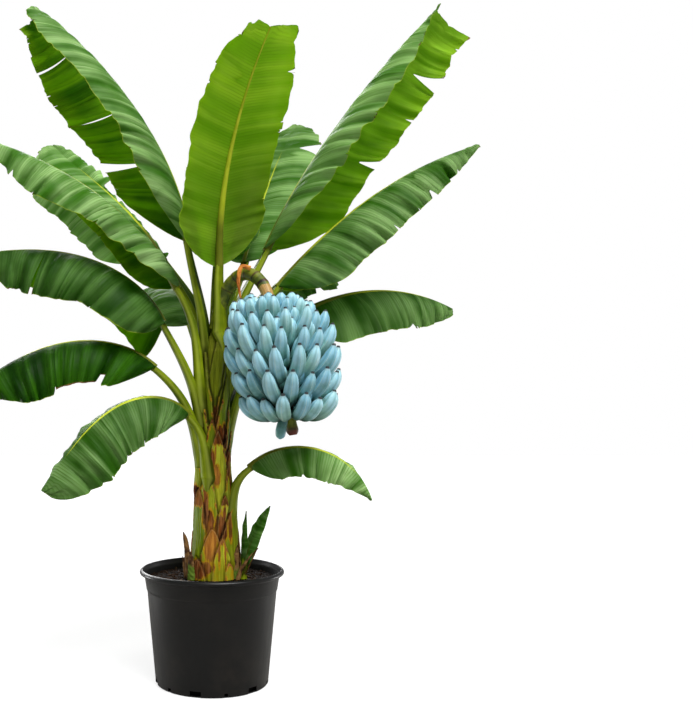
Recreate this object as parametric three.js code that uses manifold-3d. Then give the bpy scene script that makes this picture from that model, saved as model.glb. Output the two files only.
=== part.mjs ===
// Banana plant in a nursery pot, with one hanging bunch of blue fruit.
// Millimetres, +Z up. The origin is the middle of the pot's flat underside,
// +X is to the right and +Y to the back of the plant as it is seen from the front.

import * as THREE from 'three';
import { mergeVertices } from 'three/addons/utils/BufferGeometryUtils.js';
import Module from 'manifold-3d';

const wasm = await Module();
wasm.setup();

// Clearance between pieces that touch on the real plant.
const GAP = 0.3;

// Pot: outer radii and heights from the underside up, wall and rolled rim.
const POT_SIDES = 36;
const POT_HEIGHT = 337;
const POT_FOOT_RADIUS = 163;
const POT_BODY = { low: 169, lowHeight: 8, high: 190.5, highHeight: 241 };
const POT_BAND = { low: 194, lowHeight: 266, high: 202, highHeight: 318 };
const POT_RIM = { radius: 216, underside: 13, edge: 7, round: 3, lip: 12 };
const POT_WALL = 4;
const POT_FLOOR = 5;
const POT_BEVEL = { out: 1.5, up: 3, inside: 6 };
const POT_NOTCHES = { count: 8, turn: 0.42 };
const POT_NOTCH = { width: 34, height: 13, depth: 22, shoulder: 0.45, crown: 1 / 3 };
const NOTCH_SPARE = { below: 5, outside: 10 };

// Soil: its level top, and how far it stays from the pot's wall.
const SOIL_TOP = 310;
const SOIL_CLEARANCE = 0.8;

// Stem: a flat cut on the soil, then a flared foot and a slow taper.
const STEM_TAPER = [
  [310, 71], [345, 70], [391, 67], [470, 61], [541, 56], [620, 52], [691, 49.5],
  [770, 48.5], [841, 48], [920, 46], [985, 42], [1030, 33], [1052, 18],
];
const STEM_SIDES = 24;
const STEM_LEAN = { foot: 4, rise: 700, shift: 8 };
const SHEATH_RELIEF = 0.035;
const SHEATH_TWIST = 0.0052;

// Leaf stalks: half widths at the stem and at the blade, how deep the foot sits
// in the stem and how far from its middle at least. Necks are measured from an
// upright line a little to the right of the pot's middle.
const STALK_SIDES = 6;
const STALK_STEPS = 6;
const STALK_FOOT = 19;
const STALK_NECK = 11;
const STALK_FLATNESS = 0.85;
const STALK_INSET = 12;
const STALK_LEAST_OUT = 6;
const STALK_PULL = 0.4;
const NECK_LINE_X = 6;

// Blades: how many stations along and across, the thickness as a share of the
// length, and the ribs. The shoulder is where a blade has come to its full
// width, the taper where it starts to narrow, and both are shares of the length.
const BLADE_STATIONS = 10;
const BLADE_FIRST_STATION = 0.035;
const BLADE_STRIPS = 3;
const BLADE_THICKNESS = 0.0101;
const BLADE_SHOULDER = 0.16;
const BLADE_TAPER = 0.64;
const BLADE_BLUNTNESS = 0.48;
const BLADE_ENDS = 0.07;
const TEAR_CLEARANCE = 0.6;
const VEIN_LEAN = 12;
const SPLAY_REACH = 0.3;
const RIB_BASE = 12;
const RIB_TIP = 2.5;
const RIB_STEPS = 96;

// Leaves, in the order in which they leave the stem's centre. heading is the
// compass angle from +X, foot the height where the stalk leaves the stem, neck
// the distance from the stem's axis and the height where the blade starts.
// rise holds the climb at the foot, the neck, the middle and the tip of the
// blade. left and right hold each half's slope at the rib and at the edge, and
// its share of the half width. A tear is a side, a place along the blade, how
// deep it goes and half its width. A bite is a side, where along the blade it
// starts and ends, and the share of the width that it takes.
// Some leaves have traits of their own: their shoulder, their taper, how blunt
// they end and with what share of the width at the tip, how far the veins lean
// to the tip, how far they splay back at the neck, the roll about the rib at
// the neck and at the tip, and torn, with the lean kept up to the tip. A pair
// of values, roll apart, is for the left and the right half.
const LEAVES = {
  top_mid: {
    heading: 316, foot: 1040, neck: [14, 1238], rise: [88, 91, 72, 56], blade: 700,
    half: 160, left: [-5, 15, 1.18], right: [-5, 15, 1.1], taper: 0.55, blunt: 0.4,
    lean: [20, 4], tip: [0.6, 0.5], torn: true,
  },
  back_high: {
    heading: 82, foot: 1030, neck: [70, 1270], rise: [84, 72, 56, 36], blade: 780,
    half: 145, left: [0, 60, 1], right: [0, 60, 1],
  },
  top_left: {
    heading: 165, foot: 1000, neck: [75, 1316], rise: [85, 82, 54.5, 41], blade: 930,
    half: 200, left: [-15, 55, 1], right: [25, 105, 1.42], taper: [0.6, 0.45],
    blunt: [0.6, 0.5], lean: 26, tip: [0.07, 0.4], torn: true,
    tears: [[1, 0.81, 0.55, 0.02], [1, 0.52, 0.5, 0.02], [1, 0.29, 0.45, 0.02]],
  },
  top_right: {
    heading: 15, foot: 1000, neck: [158, 1299], rise: [76, 65, 53, 46], blade: 1000,
    half: 200, left: [25, 105, 1.35], right: [-15, 55, 0.97], shoulder: [0.16, 0.35],
    taper: [0.64, 0.4], blunt: [0.48, 1.3], lean: 26, tip: [0.72, 0.07], torn: true,
    tears: [[-1, 0.77, 0.42, 0.02], [-1, 0.38, 0.3, 0.02]],
  },
  back_right: {
    heading: 65, foot: 990, neck: [230, 1290], rise: [78, 56, 50, 38], blade: 790,
    half: 140, left: [-5, 30, 1], right: [-5, 30, 1],
  },
  back_left: {
    heading: 135, foot: 980, neck: [220, 1290], rise: [78, 50, 36, 37], blade: 790,
    half: 150, left: [5, 85, 1.4], right: [-55, -10, 0.32], tip: [0.3, 0.07],
    bites: [[1, 0.02, 0.55, 0.7]],
  },
  right_high: {
    heading: 8, foot: 930, neck: [190, 1187], rise: [75, 49, 36, 17], blade: 800,
    half: 180, left: [-10, 95, 1], right: [15, 90, 1], taper: 0.3, blunt: 0.8,
    tears: [[1, 0.66, 0.2, 0.02]],
  },
  back_right_low: {
    heading: 42, foot: 890, neck: [180, 1140], rise: [78, 46, 20, -8], blade: 390,
    half: 115, left: [0, 80, 1], right: [0, 80, 1],
  },
  back_mid: {
    heading: 112, foot: 840, neck: [190, 1085], rise: [80, 52, 12, -26], blade: 600,
    half: 140, left: [0, 80, 1], right: [0, 80, 1],
  },
  left_high: {
    heading: 188, foot: 820, neck: [104, 1176], rise: [82, 61, 36, 15], blade: 720,
    half: 150, left: [5, 90, 1], right: [25, 75, 0.8], taper: [0.6, 0.25],
    blunt: [0.9, 1.1], roll: [20, -25],
  },
  left_mid: {
    heading: 185, foot: 760, neck: [147, 1074], rise: [82, 64, 13, -14], blade: 680,
    half: 180, left: [10, 95, 1.12], right: [30, 95, 0.85], shoulder: [0.16, 0.05],
    taper: [0.3, 0.64], blunt: [0.8, 0.48], tip: 0.25, roll: [10, -30], splay: 0,
    tears: [[-1, 0.62, 0.8, 0.02]],
  },
  right_mid: {
    heading: 20, foot: 750, neck: [313, 1129], rise: [76, 26, 2, -23], blade: 550,
    half: 160, left: [-10, 95, 1], right: [35, 95, 1.04], taper: 0.2, blunt: 0.5,
    splay: [-12, 0],
  },
  back_low: {
    heading: 72, foot: 700, neck: [190, 920], rise: [80, 46, 0, -45], blade: 520,
    half: 130, left: [0, 85, 1], right: [0, 85, 1],
  },
  left_low: {
    heading: 192, foot: 660, neck: [174, 941], rise: [80, 42, -10, -40], blade: 560,
    half: 150, left: [20, 95, 1.17], right: [-10, 85, 1],
    tears: [[-1, 0.22, 0.27, 0.02]], bites: [[-1, 0.25, 0.57, 0.09]],
  },
  left_lowest: {
    heading: 207, foot: 610, neck: [78, 797], rise: [84, 48, -34, -52], blade: 570,
    half: 150, left: [25, 95, 1.04], right: [-10, 85, 1],
  },
  right_low: {
    heading: -15, foot: 490, neck: [104, 645], rise: [84, 42, -14, -72], blade: 445,
    half: 110, left: [-10, 95, 1], right: [30, 95, 0.96], taper: 0.35, blunt: 0.8,
  },
};

// Bunch: the stalk's way up out of the crown, over and down, then the hands.
const BUNCH_RISE = [[12, 0, 1053], [24, -6, 1115], [50, -20, 1178], [84, -48, 1208], [114, -76, 1206]];
const BUNCH_DROP = [[114, -76, 1206], [140, -102, 1182], [156, -128, 1148], [162, -148, 1112]];
const BUNCH_STALK = [21, 19, 17];
const RACHIS_TOP = [162, -148, 1112];
const RACHIS_END = [229, -158, 741];
const RACHIS_RADIUS = [18, 17];
const HANDS = [
  { at: 0.17, reach: 0.84, lift: 12 },
  { at: 0.3, reach: 0.95, lift: 6 },
  { at: 0.43, reach: 1.0, lift: 2 },
  { at: 0.56, reach: 0.97, lift: -2 },
  { at: 0.69, reach: 0.89, lift: -6 },
  { at: 0.82, reach: 0.76, lift: -10 },
];
const FINGERS = 13;
const FINGER_START = 25;
const FINGER_LENGTH = 186;
const FINGER_RADIUS = 16.8;
const FINGER_SIDES = 5;
const FINGER_CURVE = [-18, 84];
const FINGER_SHAPE = [[0, 0.5], [0.4, 0.98], [0.8, 0.96], [1, 0.25]];
const CUSHION = { outer: 34, height: 24, bevel: 0.6 };

// Dry strip of bract that hangs from the top of the bunch stalk.
const BRACT = {
  way: [[114, -88, 1219], [86, -91, 1226], [77, -96, 1190], [80, -100, 1150], [87, -104, 1116]],
  half: 7.5, thickness: 3, facing: [-0.3, -1, 0],
};

// Section of a dry ribbon, as shares of its half width and of its thickness,
// and how narrow it ends.
const RIBBON_SECTION = [[-1, 0.3], [0, 1], [1, 0.3], [1, -0.7], [0, 0], [-1, -0.7]];
const RIBBON_END = 0.12;

// Foot of the plant: dry sheath ends and a young shoot with three leaves, all
// standing on the soil.
const DRY_SHEATHS = {
  sheath_left: { way: [[-70, -6, 310.3], [-72, -10, 360], [-77, -12, 410], [-80, -12, 452]], half: 17, thickness: 5 },
  sheath_right: { way: [[84, 22, 310.3], [84, 20, 370], [80, 18, 430], [74, 16, 490]], half: 11, thickness: 4 },
};
const SHOOT = {
  foot: [92, -26, 310.3], height: 78, radius: [12, 7],
  leaves: [
    { heading: 60, up: 60, rise: [0, 88, 86, 70], blade: 140, half: 15, left: [10, 40, 1], right: [10, 40, 1] },
    { heading: -14, up: 44, rise: [0, 80, 68, 52], blade: 192, half: 27, left: [5, 40, 1], right: [5, 40, 1] },
    { heading: -30, up: 14, rise: [0, 62, 74, 60], blade: 112, half: 9, left: [0, 20, 1], right: [0, 20, 1] },
  ],
  thickness: 3.4, rib: 4, steps: 3, sides: 8, stations: 5, strips: 1,
};

const COLOURS = {
  leaf: 0x3f7d2b, stalk: 0x8fa04a, stem: 0x8c9a45, fruit: 0x7fa9bd, rachis: 0x6b7a33,
  pot: 0x1f2022, soil: 0x33241a, dry: 0x8a5f35,
};

const degrees = THREE.MathUtils.degToRad;
const lerp = THREE.MathUtils.lerp;
const point = (list) => new THREE.Vector3(...list);

// A level way that no round stem runs along.
const ASIDE = new THREE.Vector3(0.5, 0.7, 0);

// Frame of a path that climbs at one angle on one heading: along it, to its
// right, and out of its upper face.
function frameAt(rise, heading) {
  const climb = degrees(rise);
  const turn = degrees(heading);
  const along = new THREE.Vector3(
    Math.cos(climb) * Math.cos(turn), Math.cos(climb) * Math.sin(turn), Math.sin(climb));
  const right = new THREE.Vector3(Math.sin(turn), -Math.cos(turn), 0);
  const face = new THREE.Vector3().crossVectors(right, along);
  return { along, right, face };
}

// Value at one place in a list of [place, value] pairs.
function between(pairs, place) {
  let last = pairs[0];
  for (const pair of pairs) {
    if (place <= pair[0]) {
      const span = pair[0] - last[0];
      return span > 0 ? lerp(last[1], pair[1], (place - last[0]) / span) : pair[1];
    }
    last = pair;
  }
  return last[1];
}

// Closed body through rings of equal size. The ends of a tube are closed by
// fans, those of a folded strip by quads from its upper to its lower side.
function loft(rings, strip = false) {
  const size = rings[0].length;
  const positions = [];
  const indices = [];
  for (const ring of rings) {
    for (const p of ring) positions.push(p.x, p.y, p.z);
  }
  for (let i = 0; i < rings.length - 1; i += 1) {
    for (let j = 0; j < size; j += 1) {
      const k = (j + 1) % size;
      const a = i * size + j;
      const b = i * size + k;
      indices.push(a, b, a + size, b, b + size, a + size);
    }
  }
  const last = (rings.length - 1) * size;
  const spans = strip ? size / 2 - 1 : size - 2;
  for (let j = 0; j < spans; j += 1) {
    const corners = strip ? [j, j + 1, size - 2 - j, size - 1 - j] : [0, j + 1, j + 2];
    const [a, b, c, d] = corners;
    indices.push(a, c, b, last + a, last + b, last + c);
    if (strip) indices.push(a, d, c, last + a, last + c, last + d);
  }
  const geometry = new THREE.BufferGeometry();
  geometry.setAttribute('position', new THREE.Float32BufferAttribute(positions, 3));
  geometry.setIndex(indices);
  return outward(geometry);
}

// Turns the faces round where the body came out inside out.
function outward(geometry) {
  const place = geometry.getAttribute('position');
  const index = Array.from(geometry.getIndex().array);
  const a = new THREE.Vector3();
  const b = new THREE.Vector3();
  const c = new THREE.Vector3();
  let volume = 0;
  for (let i = 0; i < index.length; i += 3) {
    a.fromBufferAttribute(place, index[i]);
    b.fromBufferAttribute(place, index[i + 1]);
    c.fromBufferAttribute(place, index[i + 2]);
    volume += a.dot(b.cross(c));
  }
  if (volume < 0) {
    for (let i = 0; i < index.length; i += 3) {
      [index[i + 1], index[i + 2]] = [index[i + 2], index[i + 1]];
    }
    geometry.setIndex(index);
  }
  return geometry;
}

function solidOf(geometry) {
  const bare = geometry.clone();
  bare.deleteAttribute('normal');
  bare.deleteAttribute('uv');
  const merged = mergeVertices(bare, 1e-4);
  return new wasm.Manifold(new wasm.Mesh({
    numProp: 3,
    vertProperties: new Float32Array(merged.getAttribute('position').array),
    triVerts: new Uint32Array(merged.getIndex().array),
  }));
}

function geometryOf(solid) {
  const mesh = solid.getMesh();
  const geometry = new THREE.BufferGeometry();
  geometry.setAttribute('position', new THREE.Float32BufferAttribute(mesh.vertProperties, 3));
  geometry.setIndex(Array.from(mesh.triVerts));
  return geometry;
}

function joined(solids) {
  return solids.slice(1).reduce((sum, solid) => sum.add(solid), solids[0]);
}

// The largest piece that is left of a body after its neighbours are cut away.
function clearOf(body, neighbours) {
  const rest = neighbours.reduce((left, solid) => left.subtract(solid), body);
  return rest.decompose().reduce((a, b) => (a.volume() > b.volume() ? a : b));
}

// Ring of one tube section. flat is the thickness over the width.
function tubeRing(centre, right, face, radius, sides, flat = 1, start = 0) {
  const ring = [];
  for (let i = 0; i < sides; i += 1) {
    const angle = start + (i / sides) * Math.PI * 2;
    ring.push(centre.clone()
      .addScaledVector(right, Math.cos(angle) * radius)
      .addScaledVector(face, Math.sin(angle) * radius * flat));
  }
  return ring;
}

// How far an end ring moves along its tube when the tube is grown.
function endShift(step, steps, grow) {
  if (step === 0) return -grow;
  return step === steps ? grow : 0;
}

// Round tube along a smooth way through a few points, with its radii from end
// to end. grow widens it for the cuts that keep neighbours clear.
function tubeAlong(points, radii, { sides = 10, steps = 8, grow = 0 } = {}) {
  const curve = new THREE.CatmullRomCurve3(points.map(point), false, 'centripetal');
  const rings = [];
  for (let i = 0; i <= steps; i += 1) {
    const t = i / steps;
    const along = curve.getTangentAt(t);
    const right = new THREE.Vector3().crossVectors(along, ASIDE).normalize();
    const face = new THREE.Vector3().crossVectors(right, along);
    const share = t * (radii.length - 1);
    const low = Math.min(Math.floor(share), radii.length - 2);
    const radius = lerp(radii[low], radii[low + 1], share - low) + grow;
    const centre = curve.getPointAt(t).addScaledVector(along, endShift(i, steps, grow));
    rings.push(tubeRing(centre, right, face, radius, sides));
  }
  return loft(rings);
}

// Stem

function stemAxis(height) {
  const share = (height - SOIL_TOP) / STEM_LEAN.rise;
  return new THREE.Vector3(STEM_LEAN.foot + STEM_LEAN.shift * share, 0, height);
}

function stemGeometry(grow = 0) {
  const rings = STEM_TAPER.map(([height, radius]) => {
    const centre = stemAxis(height === SOIL_TOP ? height + GAP - grow : height + grow);
    const ring = [];
    for (let i = 0; i < STEM_SIDES; i += 1) {
      const angle = (i / STEM_SIDES) * Math.PI * 2;
      const lobes = Math.cos(3 * (angle - height * SHEATH_TWIST));
      const reach = radius * (1 + SHEATH_RELIEF * lobes) + grow;
      ring.push(centre.clone().add(new THREE.Vector3(Math.cos(angle) * reach, Math.sin(angle) * reach, 0)));
    }
    return ring;
  });
  return loft(rings);
}

// Leaf stalks

function stalkPath(leaf) {
  const footWay = frameAt(leaf.rise[0], leaf.heading).along;
  const neckWay = frameAt(leaf.rise[1], leaf.heading).along;
  const out = frameAt(0, leaf.heading).along;
  const depth = Math.max(between(STEM_TAPER, leaf.foot) - STALK_INSET, STALK_LEAST_OUT);
  const foot = stemAxis(leaf.foot).addScaledVector(out, depth);
  const neck = new THREE.Vector3(NECK_LINE_X, 0, leaf.neck[1]).addScaledVector(out, leaf.neck[0]);
  const pull = STALK_PULL * foot.distanceTo(neck);
  return new THREE.CubicBezierCurve3(
    foot, foot.clone().addScaledVector(footWay, pull), neck.clone().addScaledVector(neckWay, -pull), neck);
}

function stalkGeometry(leaf, grow = 0) {
  const path = stalkPath(leaf);
  const { right } = frameAt(0, leaf.heading);
  const rings = [];
  for (let i = 0; i <= STALK_STEPS; i += 1) {
    const t = i / STALK_STEPS;
    const centre = path.getPoint(t);
    const along = path.getTangent(t);
    centre.addScaledVector(along, endShift(i, STALK_STEPS, grow));
    if (i === STALK_STEPS) centre.addScaledVector(along, -GAP / 2);
    const face = new THREE.Vector3().crossVectors(right, along);
    const radius = lerp(STALK_FOOT, STALK_NECK, Math.sqrt(t)) + grow;
    rings.push(tubeRing(centre, right, face, radius, STALK_SIDES, STALK_FLATNESS, Math.PI / STALK_SIDES));
  }
  return loft(rings);
}

// Blades

// Climb along a blade: a smooth curve through its values at neck, middle, tip.
function climbAt([, neck, middle, tip], u) {
  return neck * (1 - u) * (1 - 2 * u) + middle * 4 * u * (1 - u) + tip * u * (2 * u - 1);
}

// One trait of a leaf's half: the leaf's own value, or that of a plain blade.
function traitOf(leaf, trait, side, plain) {
  const value = leaf[trait] ?? plain;
  return Array.isArray(value) ? value[side < 0 ? 0 : 1] : value;
}

function halfWidthAt(leaf, side, u) {
  const shoulder = traitOf(leaf, 'shoulder', side, BLADE_SHOULDER);
  const taper = traitOf(leaf, 'taper', side, BLADE_TAPER);
  const blunt = traitOf(leaf, 'blunt', side, BLADE_BLUNTNESS);
  const tip = traitOf(leaf, 'tip', side, BLADE_ENDS);
  const widening = u < shoulder ? Math.sqrt(1 - (1 - u / shoulder) ** 2) : 1;
  const narrowing = u > taper ? (1 - ((u - taper) / (1 - taper)) ** 2) ** blunt : 1;
  return leaf.half * Math.max(widening, BLADE_ENDS) * Math.max(narrowing, tip);
}

// Share of the half width that is left beside a tear or in a bite.
function reachAt(leaf, side, u) {
  let share = 1;
  for (const [tearSide, at, depth, gap] of leaf.tears ?? []) {
    const near = Math.max(0, 1 - Math.abs(u - at) / gap);
    if (tearSide === side) share = Math.min(share, 1 - depth * near);
  }
  for (const [biteSide, start, end, depth] of leaf.bites ?? []) {
    if (biteSide === side && u > start && u < end) share *= 1 - depth;
  }
  return share;
}

// Places along the blade: even steps with one more near the neck, and three at
// each tear.
function stationsOf(leaf, count) {
  const places = [BLADE_FIRST_STATION];
  for (let i = 0; i <= count; i += 1) places.push(i / count);
  for (const [, at, , gap] of leaf.tears ?? []) {
    const clear = TEAR_CLEARANCE / count;
    for (let i = places.length - 1; i >= 0; i -= 1) {
      if (Math.abs(places[i] - at) < clear + gap && places[i] > 0 && places[i] < 1) places.splice(i, 1);
    }
    places.push(at - gap, at, at + gap);
  }
  return places.sort((a, b) => a - b);
}

function bladeStart(leaf) {
  return stalkPath(leaf).getPoint(1).addScaledVector(frameAt(leaf.rise[1], leaf.heading).along, GAP / 2);
}

// Middles of the rib from the neck to the tip, with the frame at each.
function ribOf(leaf, places, start) {
  const centre = start.clone();
  const stations = [];
  let next = 0;
  for (let i = 0; i <= RIB_STEPS; i += 1) {
    const u = i / RIB_STEPS;
    while (next < places.length && places[next] <= u + 1e-6) {
      const frame = frameAt(climbAt(leaf.rise, places[next]), leaf.heading);
      const back = (places[next] - u) * leaf.blade;
      stations.push({ u: places[next], centre: centre.clone().addScaledVector(frame.along, back), ...frame });
      next += 1;
    }
    const { along } = frameAt(climbAt(leaf.rise, u + 0.5 / RIB_STEPS), leaf.heading);
    centre.addScaledVector(along, leaf.blade / RIB_STEPS);
  }
  return stations;
}

// How far the veins lean to the tip, less at the neck of a leaf that splays.
function leanAt(leaf, side, u) {
  const lean = traitOf(leaf, 'lean', side, VEIN_LEAN);
  const splay = traitOf(leaf, 'splay', side, -lean);
  return lerp(lean, -splay, Math.max(0, 1 - u / SPLAY_REACH));
}

// One half's section at a station, from the rib to the edge: points on the
// middle of the blade's thickness and the way out of its upper face.
function halfSection(leaf, side, station, strips) {
  const [atRib, atEdge, share] = side > 0 ? leaf.right : leaf.left;
  const width = halfWidthAt(leaf, side, station.u) * share * reachAt(leaf, side, station.u);
  const roll = leaf.roll ? side * lerp(...leaf.roll, station.u) : 0;
  const lean = degrees(leanAt(leaf, side, station.u));
  const forward = Math.sin(lean) * (leaf.torn ? 1 : Math.min(1, (1 - station.u) * 3));
  const section = [];
  let across = 0;
  let down = 0;
  for (let j = 1; j <= strips; j += 1) {
    const middle = degrees(lerp(atRib, atEdge, (j - 0.5) / strips) + roll);
    across += (Math.cos(middle) * width) / strips;
    down += (Math.sin(middle) * width) / strips;
    const slope = degrees(lerp(atRib, atEdge, j / strips) + roll);
    const centre = station.centre.clone()
      .addScaledVector(station.right, side * across * Math.cos(lean))
      .addScaledVector(station.face, -down * Math.cos(lean))
      .addScaledVector(station.along, (forward * width * j) / strips);
    const normal = new THREE.Vector3()
      .addScaledVector(station.right, side * Math.sin(slope))
      .addScaledVector(station.face, Math.cos(slope));
    section.push({ centre, normal });
  }
  return section;
}

function bladeGeometry(leaf, start, stations, strips, thickness) {
  const thick = thickness / 2;
  const rings = ribOf(leaf, stationsOf(leaf, stations), start).map((station) => {
    const rib = { centre: station.centre, normal: station.face };
    const left = halfSection(leaf, -1, station, strips).reverse();
    const right = halfSection(leaf, 1, station, strips);
    const ribRadius = Math.max(lerp(leaf.rib ?? RIB_BASE, RIB_TIP, station.u), thick);
    const upper = [...left, rib, ...right].map(({ centre, normal }) => centre.clone().addScaledVector(normal, thick));
    const lower = [...left, rib, ...right].map((place) => (
      place.centre.clone().addScaledVector(place.normal, place === rib ? -ribRadius : -thick)));
    return [...upper, ...lower.reverse()];
  });
  return loft(rings, true);
}

// Ribbon of even thickness along a few points, narrow at its end, facing one
// way. It makes the dry sheath ends and the strip of bract.
function ribbonGeometry({ way, half, thickness }, facing, steps = 6) {
  const curve = new THREE.CatmullRomCurve3(way.map(point), false, 'centripetal');
  const rings = [];
  for (let i = 0; i <= steps; i += 1) {
    const t = i / steps;
    const along = curve.getTangentAt(t);
    const right = new THREE.Vector3().crossVectors(along, facing).normalize();
    const normal = new THREE.Vector3().crossVectors(right, along);
    if (i === 0) normal.setZ(0).normalize();
    const wide = half * Math.max(RIBBON_END, Math.sqrt(1 - t * t));
    const ring = RIBBON_SECTION.map(([x, y]) => (
      curve.getPointAt(t).addScaledVector(right, x * wide).addScaledVector(normal, y * thickness)));
    if (i === 0) ring.forEach((p) => p.setZ(way[0][2]));
    rings.push(ring);
  }
  return loft(rings, true);
}

// Fruit

function rachisFrame(at) {
  const top = point(RACHIS_TOP);
  const end = point(RACHIS_END);
  const up = top.clone().sub(end).normalize();
  const east = new THREE.Vector3(1, 0, 0).addScaledVector(up, -up.x).normalize();
  const north = new THREE.Vector3().crossVectors(up, east);
  return { centre: top.clone().lerp(end, at), up, east, north };
}

function fingerSolid(hand, angle, grow) {
  const { centre, up, east, north } = rachisFrame(hand.at);
  const out = east.clone().multiplyScalar(Math.cos(angle)).addScaledVector(north, Math.sin(angle));
  const side = new THREE.Vector3().crossVectors(up, out);
  const length = FINGER_LENGTH * hand.reach;
  const slopeAt = (u) => degrees(hand.lift + lerp(...FINGER_CURVE, u));
  const middle = centre.clone().addScaledVector(out, FINGER_START);
  const rings = [];
  let last = 0;
  for (const [u, share] of FINGER_SHAPE) {
    const halfway = slopeAt((u + last) / 2);
    middle.addScaledVector(out, Math.cos(halfway) * length * (u - last));
    middle.addScaledVector(up, Math.sin(halfway) * length * (u - last));
    last = u;
    const slope = slopeAt(u);
    const face = up.clone().multiplyScalar(Math.cos(slope)).addScaledVector(out, -Math.sin(slope));
    rings.push(tubeRing(middle.clone(), side, face, FINGER_RADIUS * share + grow, FINGER_SIDES, 1, Math.PI / 2));
  }
  return solidOf(loft(rings));
}

// Ring-shaped cushion that the fingers of one hand grow from.
function cushionSolid(hand, grow) {
  const { centre, up, east, north } = rachisFrame(hand.at);
  const half = CUSHION.height / 2 + grow;
  const outer = CUSHION.outer + grow;
  const inner = (lerp(...RACHIS_RADIUS, hand.at) + GAP) / Math.cos(Math.PI / FINGERS);
  const side = half * CUSHION.bevel;
  const profile = [[inner, -half], [outer, -side], [outer, side], [inner, half], [inner, -half]]
    .map(([x, y]) => new THREE.Vector2(x, y));
  const turned = new THREE.LatheGeometry(profile, FINGERS);
  turned.applyMatrix4(new THREE.Matrix4().makeBasis(east, up, north.clone().negate()));
  turned.translate(centre.x, centre.y, centre.z);
  return solidOf(outward(turned));
}

function handSolid(hand, index, grow = 0) {
  const offset = (index % 2) * 0.5;
  const parts = [cushionSolid(hand, grow)];
  for (let i = 0; i < FINGERS; i += 1) {
    parts.push(fingerSolid(hand, ((i + offset) / FINGERS) * Math.PI * 2, grow));
  }
  return joined(parts);
}

// Pot and soil

// Inner side of the wall from the floor up: radius and height.
function potInside() {
  const { low, lowHeight, high, highHeight } = POT_BODY;
  const band = POT_BAND;
  return [
    [low - POT_WALL - POT_BEVEL.inside, POT_FLOOR], [low - POT_WALL, lowHeight + POT_FLOOR],
    [high - POT_WALL, highHeight], [band.low - POT_WALL, band.lowHeight],
    [band.high - POT_WALL, band.highHeight - POT_WALL],
  ];
}

function potOutline() {
  const { low, lowHeight, high, highHeight } = POT_BODY;
  const band = POT_BAND;
  const rim = POT_RIM;
  const top = POT_HEIGHT;
  const outside = [
    [0, 0], [POT_FOOT_RADIUS, 0], [low - POT_BEVEL.out, POT_BEVEL.up], [low, lowHeight],
    [high, highHeight], [band.low, band.lowHeight], [band.high, band.highHeight],
    [rim.radius - 2, top - rim.underside], [rim.radius, top - rim.edge],
    [rim.radius - rim.round, top], [rim.radius - rim.lip, top - 2],
  ];
  return [...outside, ...potInside().reverse(), [0, POT_FLOOR]];
}


function turnedGeometry(outline) {
  const profile = outline.map(([x, y]) => new THREE.Vector2(x, y));
  const turned = new THREE.LatheGeometry(profile, POT_SIDES);
  turned.rotateX(Math.PI / 2);
  return outward(mergedPlain(turned));
}

function mergedPlain(geometry) {
  geometry.deleteAttribute('normal');
  geometry.deleteAttribute('uv');
  return mergeVertices(geometry, 1e-4);
}

// Drain notches: arches through the foot of the wall.
function potNotch(angle) {
  const { width, height, depth, shoulder, crown } = POT_NOTCH;
  const { below, outside } = NOTCH_SPARE;
  const outline = new THREE.Shape();
  outline.moveTo(-width / 2, -below);
  outline.lineTo(width / 2, -below);
  outline.lineTo(width / 2, height * shoulder);
  outline.lineTo(width * crown, height);
  outline.lineTo(-width * crown, height);
  outline.lineTo(-width / 2, height * shoulder);
  outline.closePath();
  const notch = new THREE.ExtrudeGeometry(outline, { depth: depth + outside, bevelEnabled: false });
  notch.rotateX(Math.PI / 2);
  notch.rotateZ(Math.PI / 2);
  notch.translate(POT_BODY.low - depth, 0, 0);
  notch.rotateZ(angle);
  return solidOf(outward(mergedPlain(notch)));
}

function potSolid() {
  const body = solidOf(turnedGeometry(potOutline()));
  const notches = [];
  const { count, turn } = POT_NOTCHES;
  for (let i = 0; i < count; i += 1) notches.push(potNotch(((i + turn) / count) * Math.PI * 2));
  return notches.reduce((pot, notch) => pot.subtract(notch), body);
}

function soilGeometry() {
  const wall = potInside().map(([radius, height]) => [height, radius]);
  const heights = [POT_FLOOR + GAP, ...wall.slice(1, -1).map(([height]) => height), SOIL_TOP];
  const side = heights.map((height) => [between(wall, height) - SOIL_CLEARANCE, height]);
  return turnedGeometry([[0, heights[0]], ...side, [0, SOIL_TOP]]);
}

// Assembly

const plant = new THREE.Group();

function addPiece(name, geometry, colour, roughness = 0.6) {
  const material = new THREE.MeshStandardMaterial({ color: colour, roughness, metalness: 0 });
  const mesh = new THREE.Mesh(geometry, material);
  mesh.name = name;
  plant.add(mesh);
}

addPiece('pot', geometryOf(potSolid()), COLOURS.pot, 0.45);
addPiece('soil', soilGeometry(), COLOURS.soil, 0.95);
addPiece('pseudostem', stemGeometry(), COLOURS.stem, 0.6);

const bunchStalk = (grow) => [
  solidOf(tubeAlong(BUNCH_RISE, BUNCH_STALK.slice(0, 2), { grow })),
  solidOf(tubeAlong(BUNCH_DROP, BUNCH_STALK.slice(1), { grow })),
];
const stemClear = solidOf(stemGeometry(GAP));
const [riseWide, dropWide] = bunchStalk(GAP);
const [rise, drop] = bunchStalk(0);
const rachis = solidOf(tubeAlong([RACHIS_TOP, RACHIS_END], RACHIS_RADIUS, { steps: 3 }));
addPiece('bunch_stalk_rise', geometryOf(clearOf(rise, [stemClear])), COLOURS.rachis);
addPiece('bunch_stalk_drop', geometryOf(clearOf(drop, [riseWide])), COLOURS.rachis);
addPiece('rachis', geometryOf(clearOf(rachis, [dropWide])), COLOURS.rachis);

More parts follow.
